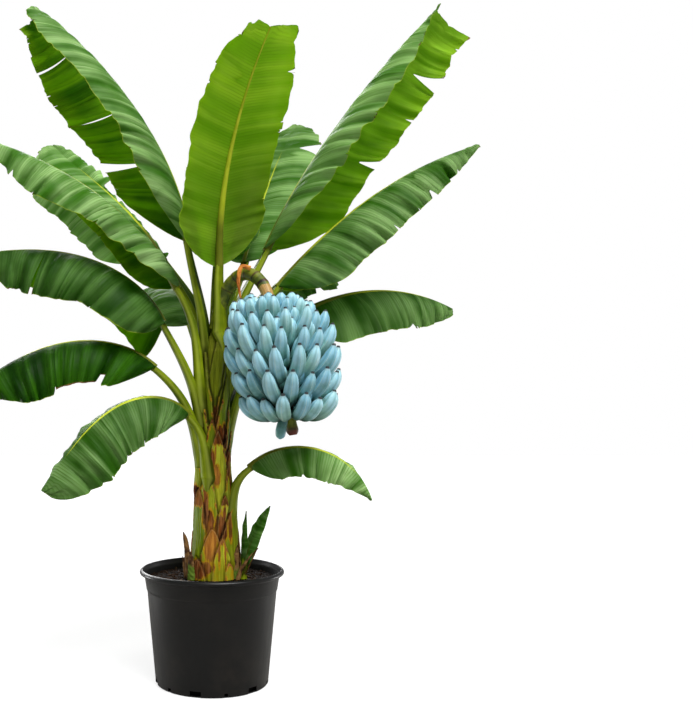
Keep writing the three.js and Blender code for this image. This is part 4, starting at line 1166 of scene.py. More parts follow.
def stalk_ends(leaf):
    """Foot, two handles and neck of a leaf stalk's way."""
    out = way_at(0, leaf["heading"])
    foot = stem_axis(leaf["foot"]) + out * foot_out(leaf["foot"])
    neck = Vector((NECK_LINE_X, 0, leaf["neck"][1])) + out * leaf["neck"][0]
    pull = STALK_PULL * (neck - foot).length
    return (foot, foot + way_at(leaf["rise"][0], leaf["heading"]) * pull,
            neck - way_at(leaf["rise"][1], leaf["heading"]) * pull, neck)


def curve_through(given):
    """Smooth curve through the points of a line, which keeps how far along it each place is."""
    tree = given["Line"].tree
    curve = given["Line"].then("MeshToCurve")
    curve = curve.then("CurveSplineType", spline_type="CATMULL_ROM")
    curve = curve.then("ResampleCurve", {2: given["Steps"]})
    reach = field_of(tree, "GeometryNodeSplineParameter", out=1)
    return keep(curve, "sweep", vector_of(tree, reach, 0.0, 0.0), "FLOAT_VECTOR")


def swept(curve, ring, channel=0.0):
    """Body of a ring along a curve, as wide as its points say, which keeps how far round each place is."""
    tree = curve.tree
    body = curve.then("CurveToMesh", {1: ring, 2: recall(tree, "girth"), 3: True})
    place = recall(tree, "sweep", "FLOAT_VECTOR") + vector_of(tree, 0.0, recall(tree, "around"), channel)
    return keep(body, "sweep", place, "FLOAT_VECTOR")


def stalk_tree():
    """Leaf stalk: a channelled section along a line whose points carry its radius."""
    tree, given = shape_tree("leaf_stalk", {
        "Line": GEOMETRY, "Right": NOWHERE, "Steps": 56, "Flatness": 0.92, "Channel": 0.5,
        "Skin": MATERIAL})
    curve = field_of(
        tree, "GeometryNodeSetCurveNormal", {0: curve_through(given), 2: given["Right"]}, mode="FREE")
    ring = field_of(tree, "GeometryNodeCurvePrimitiveCircle", {"Resolution": 24, "Radius": 1.0})
    angle = field_of(tree, "GeometryNodeSplineParameter") * math.tau
    y = angle.sine()
    groove = ramp(y, -0.45, -0.97)
    ring = keep(keep(ring, "around", angle), "groove", groove)
    section = vector_of(tree, angle.cosine(), y * given["Flatness"] + groove * given["Channel"], 0.0)
    ring = ring.then("SetPosition", {2: section})
    finish_shape(tree, [(swept(curve, ring, recall(tree, "groove")), given["Skin"])], 60)
    return tree


def stalk_line(name, leaf):
    """Way of a leaf stalk: out of the stem's side, along the frame's curve, to under the blade's neck."""
    foot, foot_handle, neck_handle, neck = stalk_ends(leaf)
    below = way_at(leaf["rise"][1] - 90, leaf["heading"])
    turned = way_at(0, leaf["heading"] + leaf.get("round", 0))
    shift = (turned - way_at(0, leaf["heading"])) * foot_out(leaf["foot"])
    foot = foot + shift
    foot_handle = foot_handle + shift * 0.8
    points, girth = [], []
    for drop, depth, wide in SHEATH_BASE:
        height = max(leaf["foot"] - drop * leaf.get("sunk", STALK_SUNK), SOIL_TOP + 0.03)
        points.append(stem_axis(height) + turned * max(between(STEM_TAPER, height) - depth, 0.002))
        girth.append(wide)
    for step in range(1, STALK_STEPS + 1):
        t = step / STALK_STEPS
        rest = 1 - t
        point = foot * rest ** 3 + foot_handle * 3 * rest ** 2 * t
        point += neck_handle * 3 * rest * t ** 2 + neck * t ** 3
        points.append(point + below * (RIB_SUNK * RIB_BASE * t ** 3))
        girth.append(SHEATH_BASE[-1][2] + (RIB_BASE - SHEATH_BASE[-1][2]) * t ** 0.8)
    points.append(neck + way_at(leaf["rise"][1], leaf["heading"]) * 0.004 + below * RIB_SUNK * RIB_BASE)
    girth.append(RIB_BASE)
    return line_mesh(name, points, girth)


def slopes_of(half):
    return (math.radians(half[0]), math.radians(half[1]), float(half[2]))


def blade_piece(name, tree, leaf, start, seed, nicked=True, **extra):
    return grown(
        name, tree, blade_pattern(name, leaf, seed, nicked), start=tuple(start),
        heading=math.radians(leaf["heading"]), length=leaf["blade"],
        half_width=leaf["half"], climb=tuple(math.radians(a) for a in leaf["rise"][1:]),
        left=slopes_of(leaf["left"]), right=slopes_of(leaf["right"]),
        fineness=float(leaf.get("fine", 1)), ripple_height=leaf.get("wave", 0.002),
        seed=float(seed), skin=LEAF, rib_skin=RIB, **extra)


def make_leaves():
    blades = blade_tree()
    stalks = stalk_tree()
    for seed, (name, leaf) in enumerate(LEAVES.items()):
        right = (math.sin(math.radians(leaf["heading"])), -math.cos(math.radians(leaf["heading"])), 0.0)
        stalk = grown("petiole_" + name, stalks, stalk_line(name, leaf), right=right, skin=STALK)
        settle(stalk, "leaf_stalk", "stalk_" + name)
        blade = blade_piece("blade_" + name, blades, leaf, stalk_ends(leaf)[3], 10 * seed + 11)
        settle(blade, "leaf_blade", "leaf_" + name)
    return blades


# Stem

def wrapped(angle):
    """Angle between -pi and pi."""
    return (angle + math.pi) % math.tau - math.pi


def sheath_layers():
    """Every sheath round the stem from the innermost out: heading, top, half angle there and at the most,
    widening per metre, brown top, papery share, yellow share, and whether it lives."""
    new = LIVING_SHEATH
    layers = [
        (leaf["heading"], leaf["foot"] + new["above"], new["half"], new["most"], new["widening"],
         new["brown"], 0.0, None, True) for leaf in LEAVES.values()]
    layers += [(heading, top, OLD_SHEATH_HALF, most, widening, brown, papery, yellow, False)
               for heading, top, widening, most, brown, papery, yellow in OLD_SHEATHS]
    return sorted(layers, key=lambda layer: -layer[1])


def stem_mesh():
    """Stem as a relief of overlapping sheaths, each wrapping further round as it goes down."""
    around, rows = STEM_MESH["around"], STEM_MESH["rows"]
    heights = np.linspace(SOIL_TOP + 0.0003, STEM_TAPER[-1][0], rows)
    angles = np.linspace(0, math.tau, around, endpoint=False)
    z, angle = np.meshgrid(heights, angles, indexing="ij")
    radius = between(STEM_TAPER, z)
    for low, high in STEM_STEPS:
        radius = radius - STEM_STEP_DEPTH * smooth(z, low, high)
    lobes = np.cos(3 * (angle - z * SHEATH_TWIST))
    tint = np.full_like(z, 0.5)
    brown, warmth, relief, shade, margin = (np.zeros_like(z) for _ in range(5))
    dice = np.random.default_rng(5)
    for order, layer in enumerate(sheath_layers()):
        heading, top, half, most, widening, brown_top, papery, yellow, living = layer
        off = np.abs(wrapped(angle - math.radians(heading)))
        ragged = 0.008 * wander(angle * 12 + 40, 100 + order) * (not living)
        sway = 0.09 * wander(z * 26 + 5, 200 + order)
        below = np.clip(top - z, 0, None)
        opening = (half + (most - half) * (1 - np.exp(-below * widening / (most - half)))) * (1 + sway)
        side_gap = (opening - off) * radius * 0.88
        top_gap = top - z + ragged
        gap = np.minimum(side_gap, top_gap)
        covers = gap > 0
        beside = smooth(gap, -0.015 if living else -0.011, 0) * (z < top + 0.01)
        uneven = 0.60 + 0.40 * wander(z * 45 + angle * 6 + 70, 400 + order)
        line = 0.6 * uneven * smooth(gap, 0.0018, 0.0002)
        shade = np.where(covers, line,
            np.maximum(shade, (0.95 if living else 0.85 * uneven) * beside ** (1.3 if living else 2)))
        margin = np.where(covers, (1 - uneven) * smooth(gap, 0.0008, 0.0018) * smooth(gap, 0.0036, 0.0022),
            margin)
        tint = np.where(covers, dice.uniform(0, 0.5) if yellow is None else yellow, tint)
        top_brown = 0.95 * smooth(top_gap, brown_top * 1.2, brown_top * 0.35) * (not living)
        frayed = 0.5 + 0.5 * wander(z * 60 + 9, 300 + order)
        side_brown = smooth(side_gap, 0.012, 0.001) * frayed * 0.75 * smooth(z, 0.95, 0.80)
        brown = np.where(covers, np.maximum(top_brown, side_brown), brown)
        warmth = np.where(covers, papery * smooth(top_gap, 0.16, 0.02), warmth)
        swell = 0.0030 * np.cos(np.clip(off / most, 0, 1) * math.pi / 2)
        crown = np.cos(np.clip(off / 0.62, 0, 1) * math.pi / 2) ** 2
        ridge = 0.0085 * living * smooth(z, top - 0.18, top - 0.04) * crown
        lip = 0.0022 * np.exp(-np.clip(gap, 0, None) / 0.014) * smooth(gap, 0, 0.0025)
        relief = np.where(covers, swell + ridge + lip, relief - 0.0032 * beside)
    for heading, height, wide, tall, strength, orange in STEM_PATCHES:
        away = (wrapped(angle - math.radians(heading)) / wide) ** 2 + ((z - height) / tall) ** 2
        patch = np.exp(-away * 0.8)
        brown = np.maximum(brown, strength * patch)
        warmth = np.maximum(warmth, orange * patch)
    shade = np.maximum(shade, 0.5 * smooth(z, 0.80, 0.96))
    low = smooth(z, 0.40, 0.33)
    brown = np.maximum(brown, 0.42 * low * (0.6 + 0.4 * wander(angle * 4 + 10, 77)))
    ribs = 0.0005 * np.cos(angle * 46 + 2 * wander(z * 30, 79)) + 0.0006 * wander(angle * 16 + 30, 80)
    curled = 0.0010 * wander(z * 90 + angle * 30 + 60, 81) * smooth(brown, 0.5, 0.9)
    reach = radius * (1 + SHEATH_RELIEF * lobes) + np.maximum(relief, -0.007) + ribs + curled
    x = STEM_LEAN["foot"] + STEM_LEAN["shift"] * (z - SOIL_TOP) / STEM_LEAN["rise"] + np.cos(angle) * reach
    corners = side_by_side(x, np.sin(angle) * reach, z)
    corners = np.concatenate([corners, [stem_axis(heights[0])], [stem_axis(heights[-1])]])
    faces = capped_faces(np.arange(rows * around).reshape(rows, around), rows * around, rows * around + 1)
    ends = np.zeros((2, 3))
    return mesh_of("stem_of_sheaths", corners, faces, {
        "sheath": np.concatenate([side_by_side(tint, brown, shade), ends]),
        "warmth": np.concatenate([side_by_side(warmth, low, margin), ends])}, STEM)


# Bunch

def finger_tree():
    """Hand of fruit: bent five-sided fingers in two rings round the rachis, and their cushion."""
    tree, given = shape_tree("hand_of_fingers", {
        "Turn": 0.0, "Start Radius": FINGER_START, "Length": FINGER_LENGTH,
        "Radius": FINGER_RADIUS, "Size": 1.0, "Lift": 0.0, "Cushion Radius": CUSHION["radius"],
        "Cushion Height": CUSHION["height"], "Tilt": NOWHERE, "Centre": NOWHERE, "Seed": 0,
        "Skin": MATERIAL})
    rod = field_of(tree, "GeometryNodeMeshCylinder", {
        "Vertices": 15, "Side Segments": 18, "Fill Segments": 1, "Radius": 1.0, "Depth": 1.0},
        fill_type="TRIANGLE_FAN")
    x, y, z = field_of(tree, "GeometryNodeInputPosition").split()
    u = z + 0.5
    angle = y.apply("ARCTAN2", x)
    centre_share = (x * x + y * y).root()
    profile = add_node(tree, "ShaderNodeFloatCurve", {"Value": u})
    points = profile.mapping.curves[0].points
    while len(points) < len(FINGER_SHAPE):
        points.new(0.5, 0.5)
    for point, place in zip(points, FINGER_SHAPE):
        point.location = place
    profile.mapping.update()
    ridge = ((angle + math.pi / 2) * 5.0).cosine()
    body = ramp(u, 0.08, 0.3) * ramp(u, 0.95, 0.8)
    radius = given["Radius"] * Field(profile.outputs[0]) * (ridge * 0.075 * body + 1.0) * centre_share
    upright = y * radius / centre_share.apply("MAXIMUM", 0.001)
    sideways = x * radius / centre_share.apply("MAXIMUM", 0.001)

    both = tree.nodes.new("GeometryNodeJoinGeometry")
    for salt, row in enumerate(FINGER_ROWS):
        first = given["Lift"] + math.radians(row["curve"][0])
        last = given["Lift"] + math.radians(row["curve"][1])
        turn = last - first
        slope = first + turn * u
        length = given["Length"] * given["Size"] * row["reach"]
        forward = (slope.sine() - first.sine()) / turn * length + given["Start Radius"]
        upward = (first.cosine() - slope.cosine()) / turn * length + row["rise"]
        place = vector_of(
            tree, forward - slope.sine() * upright, sideways, upward + slope.cosine() * upright)
        finger = keep(rod, "finger", vector_of(tree, u, ridge * 0.5 + 0.5, upright), "FLOAT_VECTOR")
        finger = finger.then("SetPosition", {2: place})
        count = row["count"]
        spots = field_of(tree, "GeometryNodeMeshLine", {"Count": count, "Offset": (0, 0, 0)})
        number = field_of(tree, "GeometryNodeInputIndex") + row["turn"]
        salt = salt * 7
        spun, tip, roll = (
            chance(given, -FINGER_CHANCE[way], FINGER_CHANCE[way], salt + place)
            for place, way in enumerate(("spin", "tip", "roll"), 1))
        spin = number * math.tau / count + given["Turn"] + spun
        size = chance(given, *FINGER_CHANCE["size"], salt + 4)
        ring = copies_on(spots, finger, vector_of(tree, tip, roll, spin), vector_of(tree, size, size, size))
        ring = keep(ring, "tint", chance(given, 0.0, 1.0, salt + 5), "FLOAT", "INSTANCE")
        ring = ring.then("RealizeInstances")
        tree.links.new(ring.socket, both.inputs[0])

    pad = field_of(tree, "GeometryNodeMeshCylinder", {
        "Vertices": 26, "Side Segments": 6, "Fill Segments": 2, "Radius": 1.0, "Depth": 1.0},
        fill_type="TRIANGLE_FAN")
    crown = ramp(z.absolute(), 0.5, 0.1, 0.72, 1.0) * given["Cushion Radius"]
    pad = pad.then("SetPosition", {2: vector_of(tree, x * crown, y * crown, z * given["Cushion Height"])})
    pad = keep(pad, "finger", vector_of(tree, 0.02, 0.0, 0.0), "FLOAT_VECTOR")
    pad = keep(pad, "tint", 0.3)
    tree.links.new(pad.socket, both.inputs[0])
    stood = transformed(
        Field(both.outputs[0]), Translation=given["Centre"], Rotation=turned_by(given["Tilt"]))
    finish_shape(tree, [(stood, given["Skin"])], 40)
    return tree


def sweep_tree():
    """Round stem through the points of a line, with a radius and scars that the line's points carry."""
    tree, given = shape_tree("round_stem", {
        "Line": GEOMETRY, "Steps": 40, "Sides": 20, "Relief": 0.0008, "Skin": MATERIAL})
    ring = field_of(tree, "GeometryNodeCurvePrimitiveCircle", {"Resolution": given["Sides"], "Radius": 1.0})
    ring = keep(ring, "around", field_of(tree, "GeometryNodeSplineParameter") * math.tau)
    body = swept(curve_through(given), ring)
    bump = (noise_at(field_of(tree, "GeometryNodeInputPosition"), 60.0) - 0.5) * given["Relief"] * 2.0
    normal = field_of(tree, "GeometryNodeInputNormal")
    body = body.then("SetPosition", {3: normal.scaled(bump)})
    finish_shape(tree, [(body, given["Skin"])], 45)
    return tree


def line_mesh(name, points, girth, scars=None, **more):
    """Polyline whose points carry the radius of a round stem and its scars."""
    if scars is None:
        scars = np.zeros((len(points), 3))
    return mesh_of(name, points, edges=[(i, i + 1) for i in range(len(points) - 1)],
                   attributes={"girth": girth, "scar": scars, **more})


def even_points(points, count):
    """Evenly spaced points of a smooth way through a few points."""
    points = np.array(points, dtype=float)
    padded = np.vstack([2 * points[0] - points[1], points, 2 * points[-1] - points[-2]])
    fine = []
    for i in range(1, len(padded) - 2):
        before, here, after, later = padded[i - 1:i + 3]
        for t in np.linspace(0, 1, 24, endpoint=False):
            pull = (after - before) * t + (2 * before - 5 * here + 4 * after - later) * t ** 2
            fine.append(0.5 * (2 * here + pull + (3 * here - before - 3 * after + later) * t ** 3))
    fine = np.array([*fine, points[-1]])
    run = np.concatenate([[0], np.cumsum(np.linalg.norm(np.diff(fine, axis=0), axis=1))])
    places = np.linspace(0, run[-1], count)
    return np.stack([np.interp(places, run, fine[:, k]) for k in range(3)], axis=-1)


def late_finger(sweeps):
    way = even_points(LATE_FINGER["way"], 48)
    share = np.linspace(0, 1, len(way))
    line = line_mesh("late_finger", way, between(LATE_FINGER["girth"], share),
                     finger=side_by_side(0.36 + 0.3 * share, 0.3, 0.0))
    return grown("late_finger", sweeps, line, steps=44, sides=16, skin=FRUIT)


def make_bunch():
    sweeps = sweep_tree()
    way = even_points([*BUNCH_RISE, BUNCH_TOP, *BUNCH_DROP], 60)
    share = np.linspace(0, 1, len(way))
    girth = np.interp(share, [0, 0.5, 1], BUNCH_STALK)
    scars = np.zeros((len(way), 3))
    for at, wide, dark in BRACT_SCARS:
        ring = np.exp(-((share - at) / wide) ** 2)
        girth = girth + 0.0012 * ring
        scars[:, 0] = np.maximum(scars[:, 0], ring * dark)
    scars[:, 2] = 0.6 * smooth(share, 0.80, 0.86)
    stalk = grown("bunch_stalk", sweeps, line_mesh("bunch_stalk", way, girth, scars), steps=60, sides=24,
        skin=RACHIS)
    settle(stalk, "bunch_stalk", "bunch_stalk_rise", "bunch_stalk_drop")

    top, end = Vector(RACHIS_TOP), Vector(RACHIS_END)
    share = np.linspace(0, 1, 40)
    way = np.array([tuple(top.lerp(end, float(t))) for t in share])
    girth = np.interp(share, [0, 1], RACHIS_RADIUS) * between(RACHIS_SWELLING, share)
    scars = np.zeros((len(way), 3))
    scars[:, 2] = 0.5 * smooth(share, 0.2, 0.0)
    scars[:, 1] = smooth(share, 0.935, 0.96)
    rachis = grown("bunch_axis", sweeps, line_mesh("bunch_axis", way, girth, scars), steps=60, sides=24,
                   relief=0.0016, skin=RACHIS)
    settle(rachis, "bunch_stalk", "rachis")

    fingers = finger_tree()
    straightened = (top - end).normalized().lerp(Vector((0, 0, 1)), HAND_LEVEL)
    tilt = Vector((0, 0, 1)).rotation_difference(straightened).to_euler()
    for index, hand in enumerate(HANDS):
        piece = grown(
            f"fruit_hand_{index + 1}", fingers, tilt=tuple(tilt), centre=tuple(top.lerp(end, hand["at"])),
            turn=(index % 2) * math.pi / FINGER_ROWS[0]["count"], size=hand["reach"],
            lift=math.radians(hand["lift"]), seed=index * 10, skin=FRUIT)
        if index == len(HANDS) - 1:
            piece = joined(piece.name, [piece, late_finger(sweeps)])
        settle(piece, "fruit_skin", f"hand_{index + 1}")


# Dry strips

def strip_mesh(name, strip, material, seed):
    """Curled ribbon of dry tissue along a few points, torn to a point at its end."""
    rows, columns = STRIP_MESH["rows"], STRIP_MESH["columns"]
    way = even_points(strip["way"], rows)
    share = np.linspace(0, 1, rows)
    along = np.gradient(way, axis=0)
    along /= np.linalg.norm(along, axis=1, keepdims=True)
    facing = np.array(strip["facing"], dtype=float)
    right = np.cross(along, facing)
    right /= np.linalg.norm(right, axis=1, keepdims=True)
    normal = np.cross(right, along)
    frayed = 1 + (0.12 + 0.22 * strip["ragged"] * smooth(share, 0.5, 1.0)) * wander(share * 11 + 3, seed)
    wide = strip["half"] * np.maximum(0.10, (1 - share ** strip.get("blunt", 1.6)) ** 0.7) * frayed
    layers = []
    for lift in (0, -STRIP_MESH["thickness"]):
        for j in range(columns):
            v = -1 + 2 * j / (columns - 1)
            bend = v * strip["curl"]
            sideways = (np.sin(bend) / strip["curl"] * wide)[:, None]
            outwards = ((np.cos(bend) - 0.6) / strip["curl"] * wide)[:, None]
            crinkle = (0.0011 * wander(share * 14 + v * 2 + 8, seed + 1))[:, None] + lift
            layers.append(way + right * sideways + normal * (outwards + crinkle))
    corners = np.stack(layers, axis=1).reshape(-1, 3)
    foot = strip["way"][0][2]
    if foot < 0.4:
        corners[:, 2] = np.maximum(corners[:, 2], foot)
    index = np.arange(rows * columns * 2).reshape(rows, 2 * columns)
    loop = np.concatenate([index[:, :columns], index[:, columns:][:, ::-1]], axis=1)
    faces = tube_faces(loop)
    for row, flip in ((0, 1), (rows - 1, -1)):
        for j in range(columns - 1):
            quad = (index[row, j], index[row, j + 1], index[row, columns + j + 1], index[row, columns + j])
            faces.append(quad[::flip])
    v = np.tile(np.concatenate([np.linspace(-1, 1, columns)] * 2), rows)
    length = np.repeat(share, 2 * columns)
    green = strip["green"] * smooth(length, 0.75, 0.15)
    place = side_by_side(v * strip["half"], green, length * 0.15)
    return outward(mesh_of(name, corners, faces, {"strip": place}, material))


def make_dry_strips():
    for seed, (name, strips) in enumerate(DRY_STRIPS.items()):
        material = BRACT if name == "bract_strip" else DRY
        parts = []
        for number, strip in enumerate(strips):
            mesh = strip_mesh(f"dry_{name}_{number}", strip, material, 300 + 10 * seed + number)
            parts.append(place_mesh(mesh.name, mesh))
        settle(joined("dry_" + name, parts), "dry_sheath", name)


# Shoot

def make_shoot(blades):
    """Young shoot beside the stem: a short sheath and four narrow leaves, one of them dead."""
    foot = Vector(SHOOT_FOOT)
    share = np.linspace(0, 1, 12)
    way = np.array([tuple(foot + Vector((0, 0, SHOOT_STEM["height"] * float(t)))) for t in share])
    girth = np.interp(share, [0, 1], SHOOT_STEM["radius"])
    stem = grown("young_shoot", sweep_tree(), line_mesh("young_shoot", way, girth), steps=16, sides=16,
        skin=STALK)
    parts = [stem]
    for number, leaf in enumerate(SHOOT_LEAVES):
        start = foot + Vector((0, 0, leaf["up"]))
        parts.append(blade_piece(
            f"shoot_leaf_{number}", blades, leaf, start, 400 + number, nicked=False,
            rib_base=0.003, rib_tip=0.001, thickness=0.0012))
    settle(joined("young_shoot", parts), "leaf_blade", "shoot")


# Pot and soil

def arc(x, z, radius, start, end, steps=6):
    """Points of an arc round (x, z), with angles in degrees."""
    angles = np.radians(np.linspace(start, end, steps))
    return [(x + radius * math.cos(a), z + radius * math.sin(a)) for a in angles]


def pot_outline():
    """Closed outline of the pot's wall from the middle of its underside, out, up and back down inside."""
    body, band = POT_BODY, POT_BAND
    foot, bead, lip = POT_FOOT_ROUND, POT_BEAD["outer"], POT_BEAD["inner"]
    outside = [(0.0, 0.0), (0.08, 0.0), (POT_FOOT_RADIUS - 0.002, 0.0)]
    outside += arc(body["low"] - foot, foot, foot, -60, 0)
    outside += [(body["low"], body["low_height"] + 0.002), (body["high"], body["high_height"])]
    step = (body["high"] + band["low"]) / 2
    outside += [(step - 0.0014, band["low_height"] - 0.006), (step + 0.0004, band["low_height"] - 0.0035)]
    outside += [(band["low"], band["low_height"] - 0.001), (band["low"] + 0.0002, band["low_height"] + 0.002)]
    outside += [(band["high"], band["high_height"])]
    outside += [(band["high"] + 0.001, POT_TOP - 0.0165)]
    outside += arc(POT_RIM_RADIUS - bead, POT_TOP - 0.0080, bead, -110, 70, 12)
    outside += arc(POT_RIM_RADIUS - 0.0072, POT_TOP - lip, lip, 60, 165)
    inside = [
        (band["high"] - POT_WALL, band["high_height"] - 0.004), (band["low"] - POT_WALL, band["low_height"]),
        (body["high"] - POT_WALL, body["high_height"]), (body["low"] - POT_WALL, POT_FLOOR + 0.003),
        (body["low"] - POT_WALL - 0.002, POT_FLOOR), (0.0, POT_FLOOR),
    ]
    return outside + inside


def pot_tree():
    """Turned pot: an outline swept round the axis, with a ring of drain notches cut through its foot."""
    tree, given = shape_tree("turned_pot", {
        "Outline": GEOMETRY, "Segments": 160, "Sweep Radius": POT_SWEEP, "Notches": POT_NOTCHES["count"],
        "Notch Turn": 0.0, "Notch Size": NOWHERE, "Small Notch": NOWHERE, "Notch Radius": 0.16,
        "Skin": MATERIAL})
    outline = given["Outline"].then("MeshToCurve")
    circle = field_of(tree, "GeometryNodeCurvePrimitiveCircle", {
        "Resolution": given["Segments"], "Radius": given["Sweep Radius"]})
    wall = circle.then("CurveToMesh", {1: outline})
    wall = wall.then("MergeByDistance", {2: 0.00005})

    block = field_of(tree, "GeometryNodeMeshCube", {"Size": (1.0, 1.0, 1.0)})
    block = transformed(block, Scale=given["Notch Size"])
    spots = field_of(tree, "GeometryNodeMeshCircle",
        {"Vertices": given["Notches"], "Radius": given["Notch Radius"]})
    number = field_of(tree, "GeometryNodeInputIndex")
    spin = vector_of(tree, 0.0, 0.0, number * math.tau / given["Notches"])
    odd = (number * 0.5).fraction() * 2.0
    across, high, _ = given["Small Notch"].split()
    ring = copies_on(spots, block, spin,
        vector_of(tree, 1.0, odd * (across - 1.0) + 1.0, odd * (high - 1.0) + 1.0))
    ring = transformed(ring, Rotation=turned_by(vector_of(tree, 0.0, 0.0, given["Notch Turn"])))
    cutters = ring.then("RealizeInstances")
    cut = wall.then("MeshBoolean", {1: cutters}, operation="DIFFERENCE", solver="EXACT")
    finish_shape(tree, [(cut, given["Skin"])], 35)
    return tree


def make_pot():
    corners = [(radius - POT_SWEEP, -height, 0.0) for radius, height in pot_outline()]
    outline = mesh_of("pot_outline", corners,
        edges=[(i, (i + 1) % len(corners)) for i in range(len(corners))])
    notch = POT_NOTCHES
    piece = grown(
        "nursery_pot", pot_tree(), outline, sweep_radius=POT_SWEEP,
        notch_turn=notch["turn"] / notch["count"] * math.tau,
        notch_size=(notch["cutter"], notch["width"], 2 * notch["height"]), small_notch=(*notch["small"], 0.0),
        notch_radius=POT_BODY["low"] - notch["recess"] + notch["cutter"] / 2, skin=POT)
    outward(piece.data)
    settle(piece, "pot_plastic", "pot")


def soil_mesh():
    """Soil as one closed body inside the pot with a rough top."""
    around, rings, count = SOIL_MESH["around"], SOIL_MESH["rings"], SOIL_MESH["waves"]
    body, band = POT_BODY, POT_BAND
    floor = POT_FLOOR + 0.0003
    inner = [
        (POT_FLOOR, body["low"] - POT_WALL - 0.006), (body["low_height"] + POT_FLOOR, body["low"] - POT_WALL),
        (body["high_height"], body["high"] - POT_WALL), (band["low_height"], band["low"] - POT_WALL),
        (band["high_height"] - 0.004, band["high"] - POT_WALL)]
    profile = [(between(inner, z) - SOIL_CLEARANCE, z) for z in (floor, *SOIL_STEPS, SOIL_EDGE)]
    edge = profile[-1][0]
    profile += [(edge * (1 - i / rings), SOIL_TOP) for i in range(1, rings)]
    dice = np.random.default_rng(21)
    waves = [
        (dice.uniform(30, 160), dice.uniform(0, math.tau), dice.uniform(0, math.tau)) for _ in range(count)]
    corners = []
    for radius, z in profile:
        for i in range(around):
            angle = i / around * math.tau
            x, y = radius * math.cos(angle), radius * math.sin(angle)
            rough = sum(
                math.sin(k * (x * math.cos(a) + y * math.sin(a)) + p) * 6 / k for k, a, p in waves) / count
            lift = 0.011 * rough - 0.0015 if z == SOIL_TOP else 0
            corners.append((x, y, min(z + lift, SOIL_TOP + 0.004)))
    rows = len(profile)
    corners += [(0, 0, floor), (0, 0, SOIL_TOP - 0.001)]
    faces = capped_faces(np.arange(rows * around).reshape(rows, around), rows * around, rows * around + 1)
    return outward(mesh_of("soil_body", corners, faces, material=SOIL))


def litter_tree():
    """Chips strewn over the upward faces of a body, in a ring round its middle."""
    tree, given = shape_tree("strewn_chips", {
        "Ground": GEOMETRY, "Density": 9000.0, "Smallest": 0.0015, "Largest": 0.006,
        "Stretch": (1.0, 1.0, 1.0), "Inner": 0.0, "Outer": 0.19, "Seed": 0, "Skin": MATERIAL})
    x, y, z = field_of(tree, "GeometryNodeInputPosition").split()
    reach = (x * x + y * y).root()
    level = z.over(SOIL_TOP - 0.008)
    wanted = level * reach.under(given["Outer"]) * reach.over(given["Inner"])
    points = field_of(tree, "GeometryNodeDistributePointsOnFaces", {
        "Mesh": given["Ground"], "Selection": wanted, "Density": given["Density"], "Seed": given["Seed"]})
    chip = field_of(tree, "GeometryNodeMeshIcoSphere", {"Radius": 1.0, "Subdivisions": 1})
    chip = transformed(chip, Scale=given["Stretch"])
    size = chance(given, 0.0, 1.0, 1) ** 2.5 * (given["Largest"] - given["Smallest"]) + given["Smallest"]
    turned = vector_of(tree,
        *(chance(given, *limits) for limits in ((-0.5, 0.5, 2), (-0.5, 0.5, 3), (0.0, math.tau, 4))))
    chips = copies_on(points, chip, turned, vector_of(tree, size, size, size))
    finish_shape(tree, [(chips, given["Skin"])], 20)
    return tree


def make_soil():
    soil = soil_mesh()
    litter = litter_tree()
    chips = grown("soil_chips", litter, soil.copy(), skin=CHIPS, density=7000.0, stretch=(1.5, 0.9, 0.6),
        seed=3)
    straw = grown("soil_straw", litter, soil.copy(), skin=STRAW, density=900.0, smallest=0.003, largest=0.010,
                  stretch=(3.2, 0.22, 0.18), inner=0.06, outer=0.13, seed=9)
    for piece in (chips, straw):
        settle(piece, "potting_soil")
    settle(place_mesh("soil_body", soil), "potting_soil", "soil")


# Stage

def make_camera():
    data = bpy.data.cameras.new("portrait")
    data.sensor_width = SENSOR * 1000
    data.lens = SENSOR * 1000 * PHOTO["focal"] / PHOTO["height"]
    data.shift_x = (PHOTO["width"] / 2 - PHOTO["axis_x"]) / PHOTO["height"]
    data.shift_y = (PHOTO["horizon_y"] - PHOTO["height"] / 2) / PHOTO["height"]
    camera = bpy.data.objects.new("portrait", data)
    camera.location = EYE
    camera.rotation_euler = (math.pi / 2, 0, 0)
    scene.collection.objects.link(camera)
    scene.camera = camera


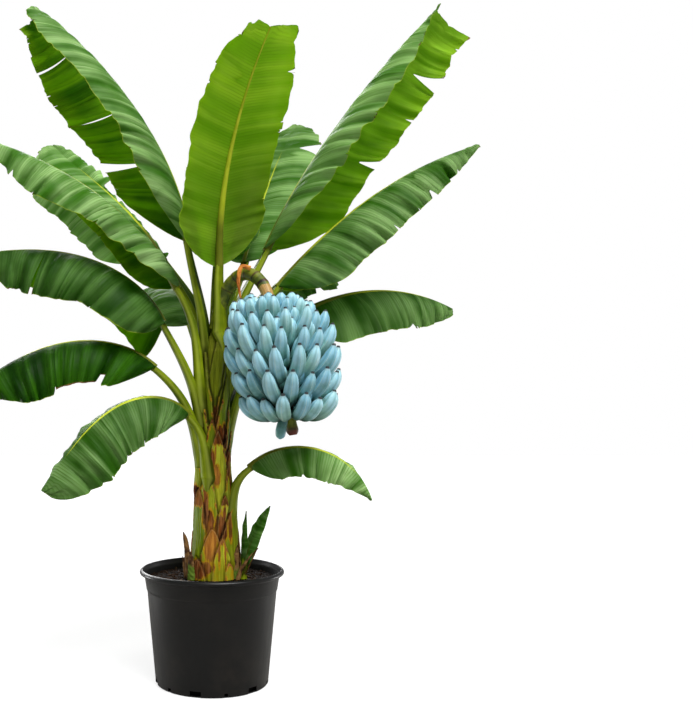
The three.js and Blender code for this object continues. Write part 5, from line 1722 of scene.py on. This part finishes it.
SKY_LIGHT = 0.34
FLOOR_GLOW = {"strength": 1.06, "share": 0.66}
FLOOR_HALF = 12
SOFT_BOX = {"shape": "RECTANGLE", "size": 0.18, "size_y": 0.8}
LIGHTS = [
    ("key", "SUN", 4.2, (1.2, -2.0, 5.2), (0, 0, 1.0), {"angle": math.radians(32)}),
    ("back", "SUN", 2.6, (-0.8, 3.0, 2.8), (0, 0, 1.0), {"angle": math.radians(30)}),
    ("left_box", "AREA", 20, (-2.2, 1.0, 0.4), (0, 0, 0.2), SOFT_BOX),
    ("right_box", "AREA", 14, (2.3, 1.1, 0.4), (0, 0, 0.2), SOFT_BOX),
]


def add_light(name, kind, energy, place, target, settings):
    data = bpy.data.lights.new(name, kind)
    data.energy = energy
    for label, value in settings.items():
        setattr(data, label, value)
    light = bpy.data.objects.new(name, data)
    light.location = place
    light.rotation_euler = (Vector(place) - Vector(target)).to_track_quat("Z", "Y").to_euler()
    scene.collection.objects.link(light)


def make_stage():
    """White sweep of floor under a bright even sky, with soft boxes round the plant."""
    scene.view_settings.view_transform = "Standard"
    world = bpy.data.worlds.new("studio")
    world.use_nodes = True
    scene.world = world
    tree = world.node_tree
    soft = tree.nodes["Background"]
    soft.inputs["Color"].default_value = (1, 1, 1, 1)
    soft.inputs["Strength"].default_value = SKY_LIGHT
    seen = add_node(tree, "ShaderNodeBackground", {"Color": (1, 1, 1, 1), "Strength": 1.0})
    mix_surface(tree, field_of(tree, "ShaderNodeLightPath", out="Is Camera Ray"), soft, seen, "World Output")

    material, tree, shader = new_material("white_floor", Roughness=0.9, Specular_IOR_Level=0.1)
    seen = field_of(tree, "ShaderNodeLightPath", out="Is Camera Ray")
    feed(shader.inputs["Base Color"], blend(seen, paint(150, 148, 144), paint(238, 238, 238)))
    glow = add_node(tree, "ShaderNodeEmission", {"Color": (1, 1, 1, 1), "Strength": FLOOR_GLOW["strength"]})
    mix_surface(tree, seen * FLOOR_GLOW["share"], shader, glow)
    corners = [(x * FLOOR_HALF, y * FLOOR_HALF, 0) for x, y in ((-1, -1), (1, -1), (1, 1), (-1, 1))]
    floor = place_mesh("floor", mesh_of("floor", corners, [(0, 1, 2, 3)], material=material))

    for light in LIGHTS:
        add_light(*light)


make_camera()
make_stage()
blades = make_leaves()
settle(place_mesh("stem_of_sheaths", stem_mesh()), "stem_sheath", "pseudostem")
make_bunch()
make_dry_strips()
make_shoot(blades)
make_pot()
make_soil()
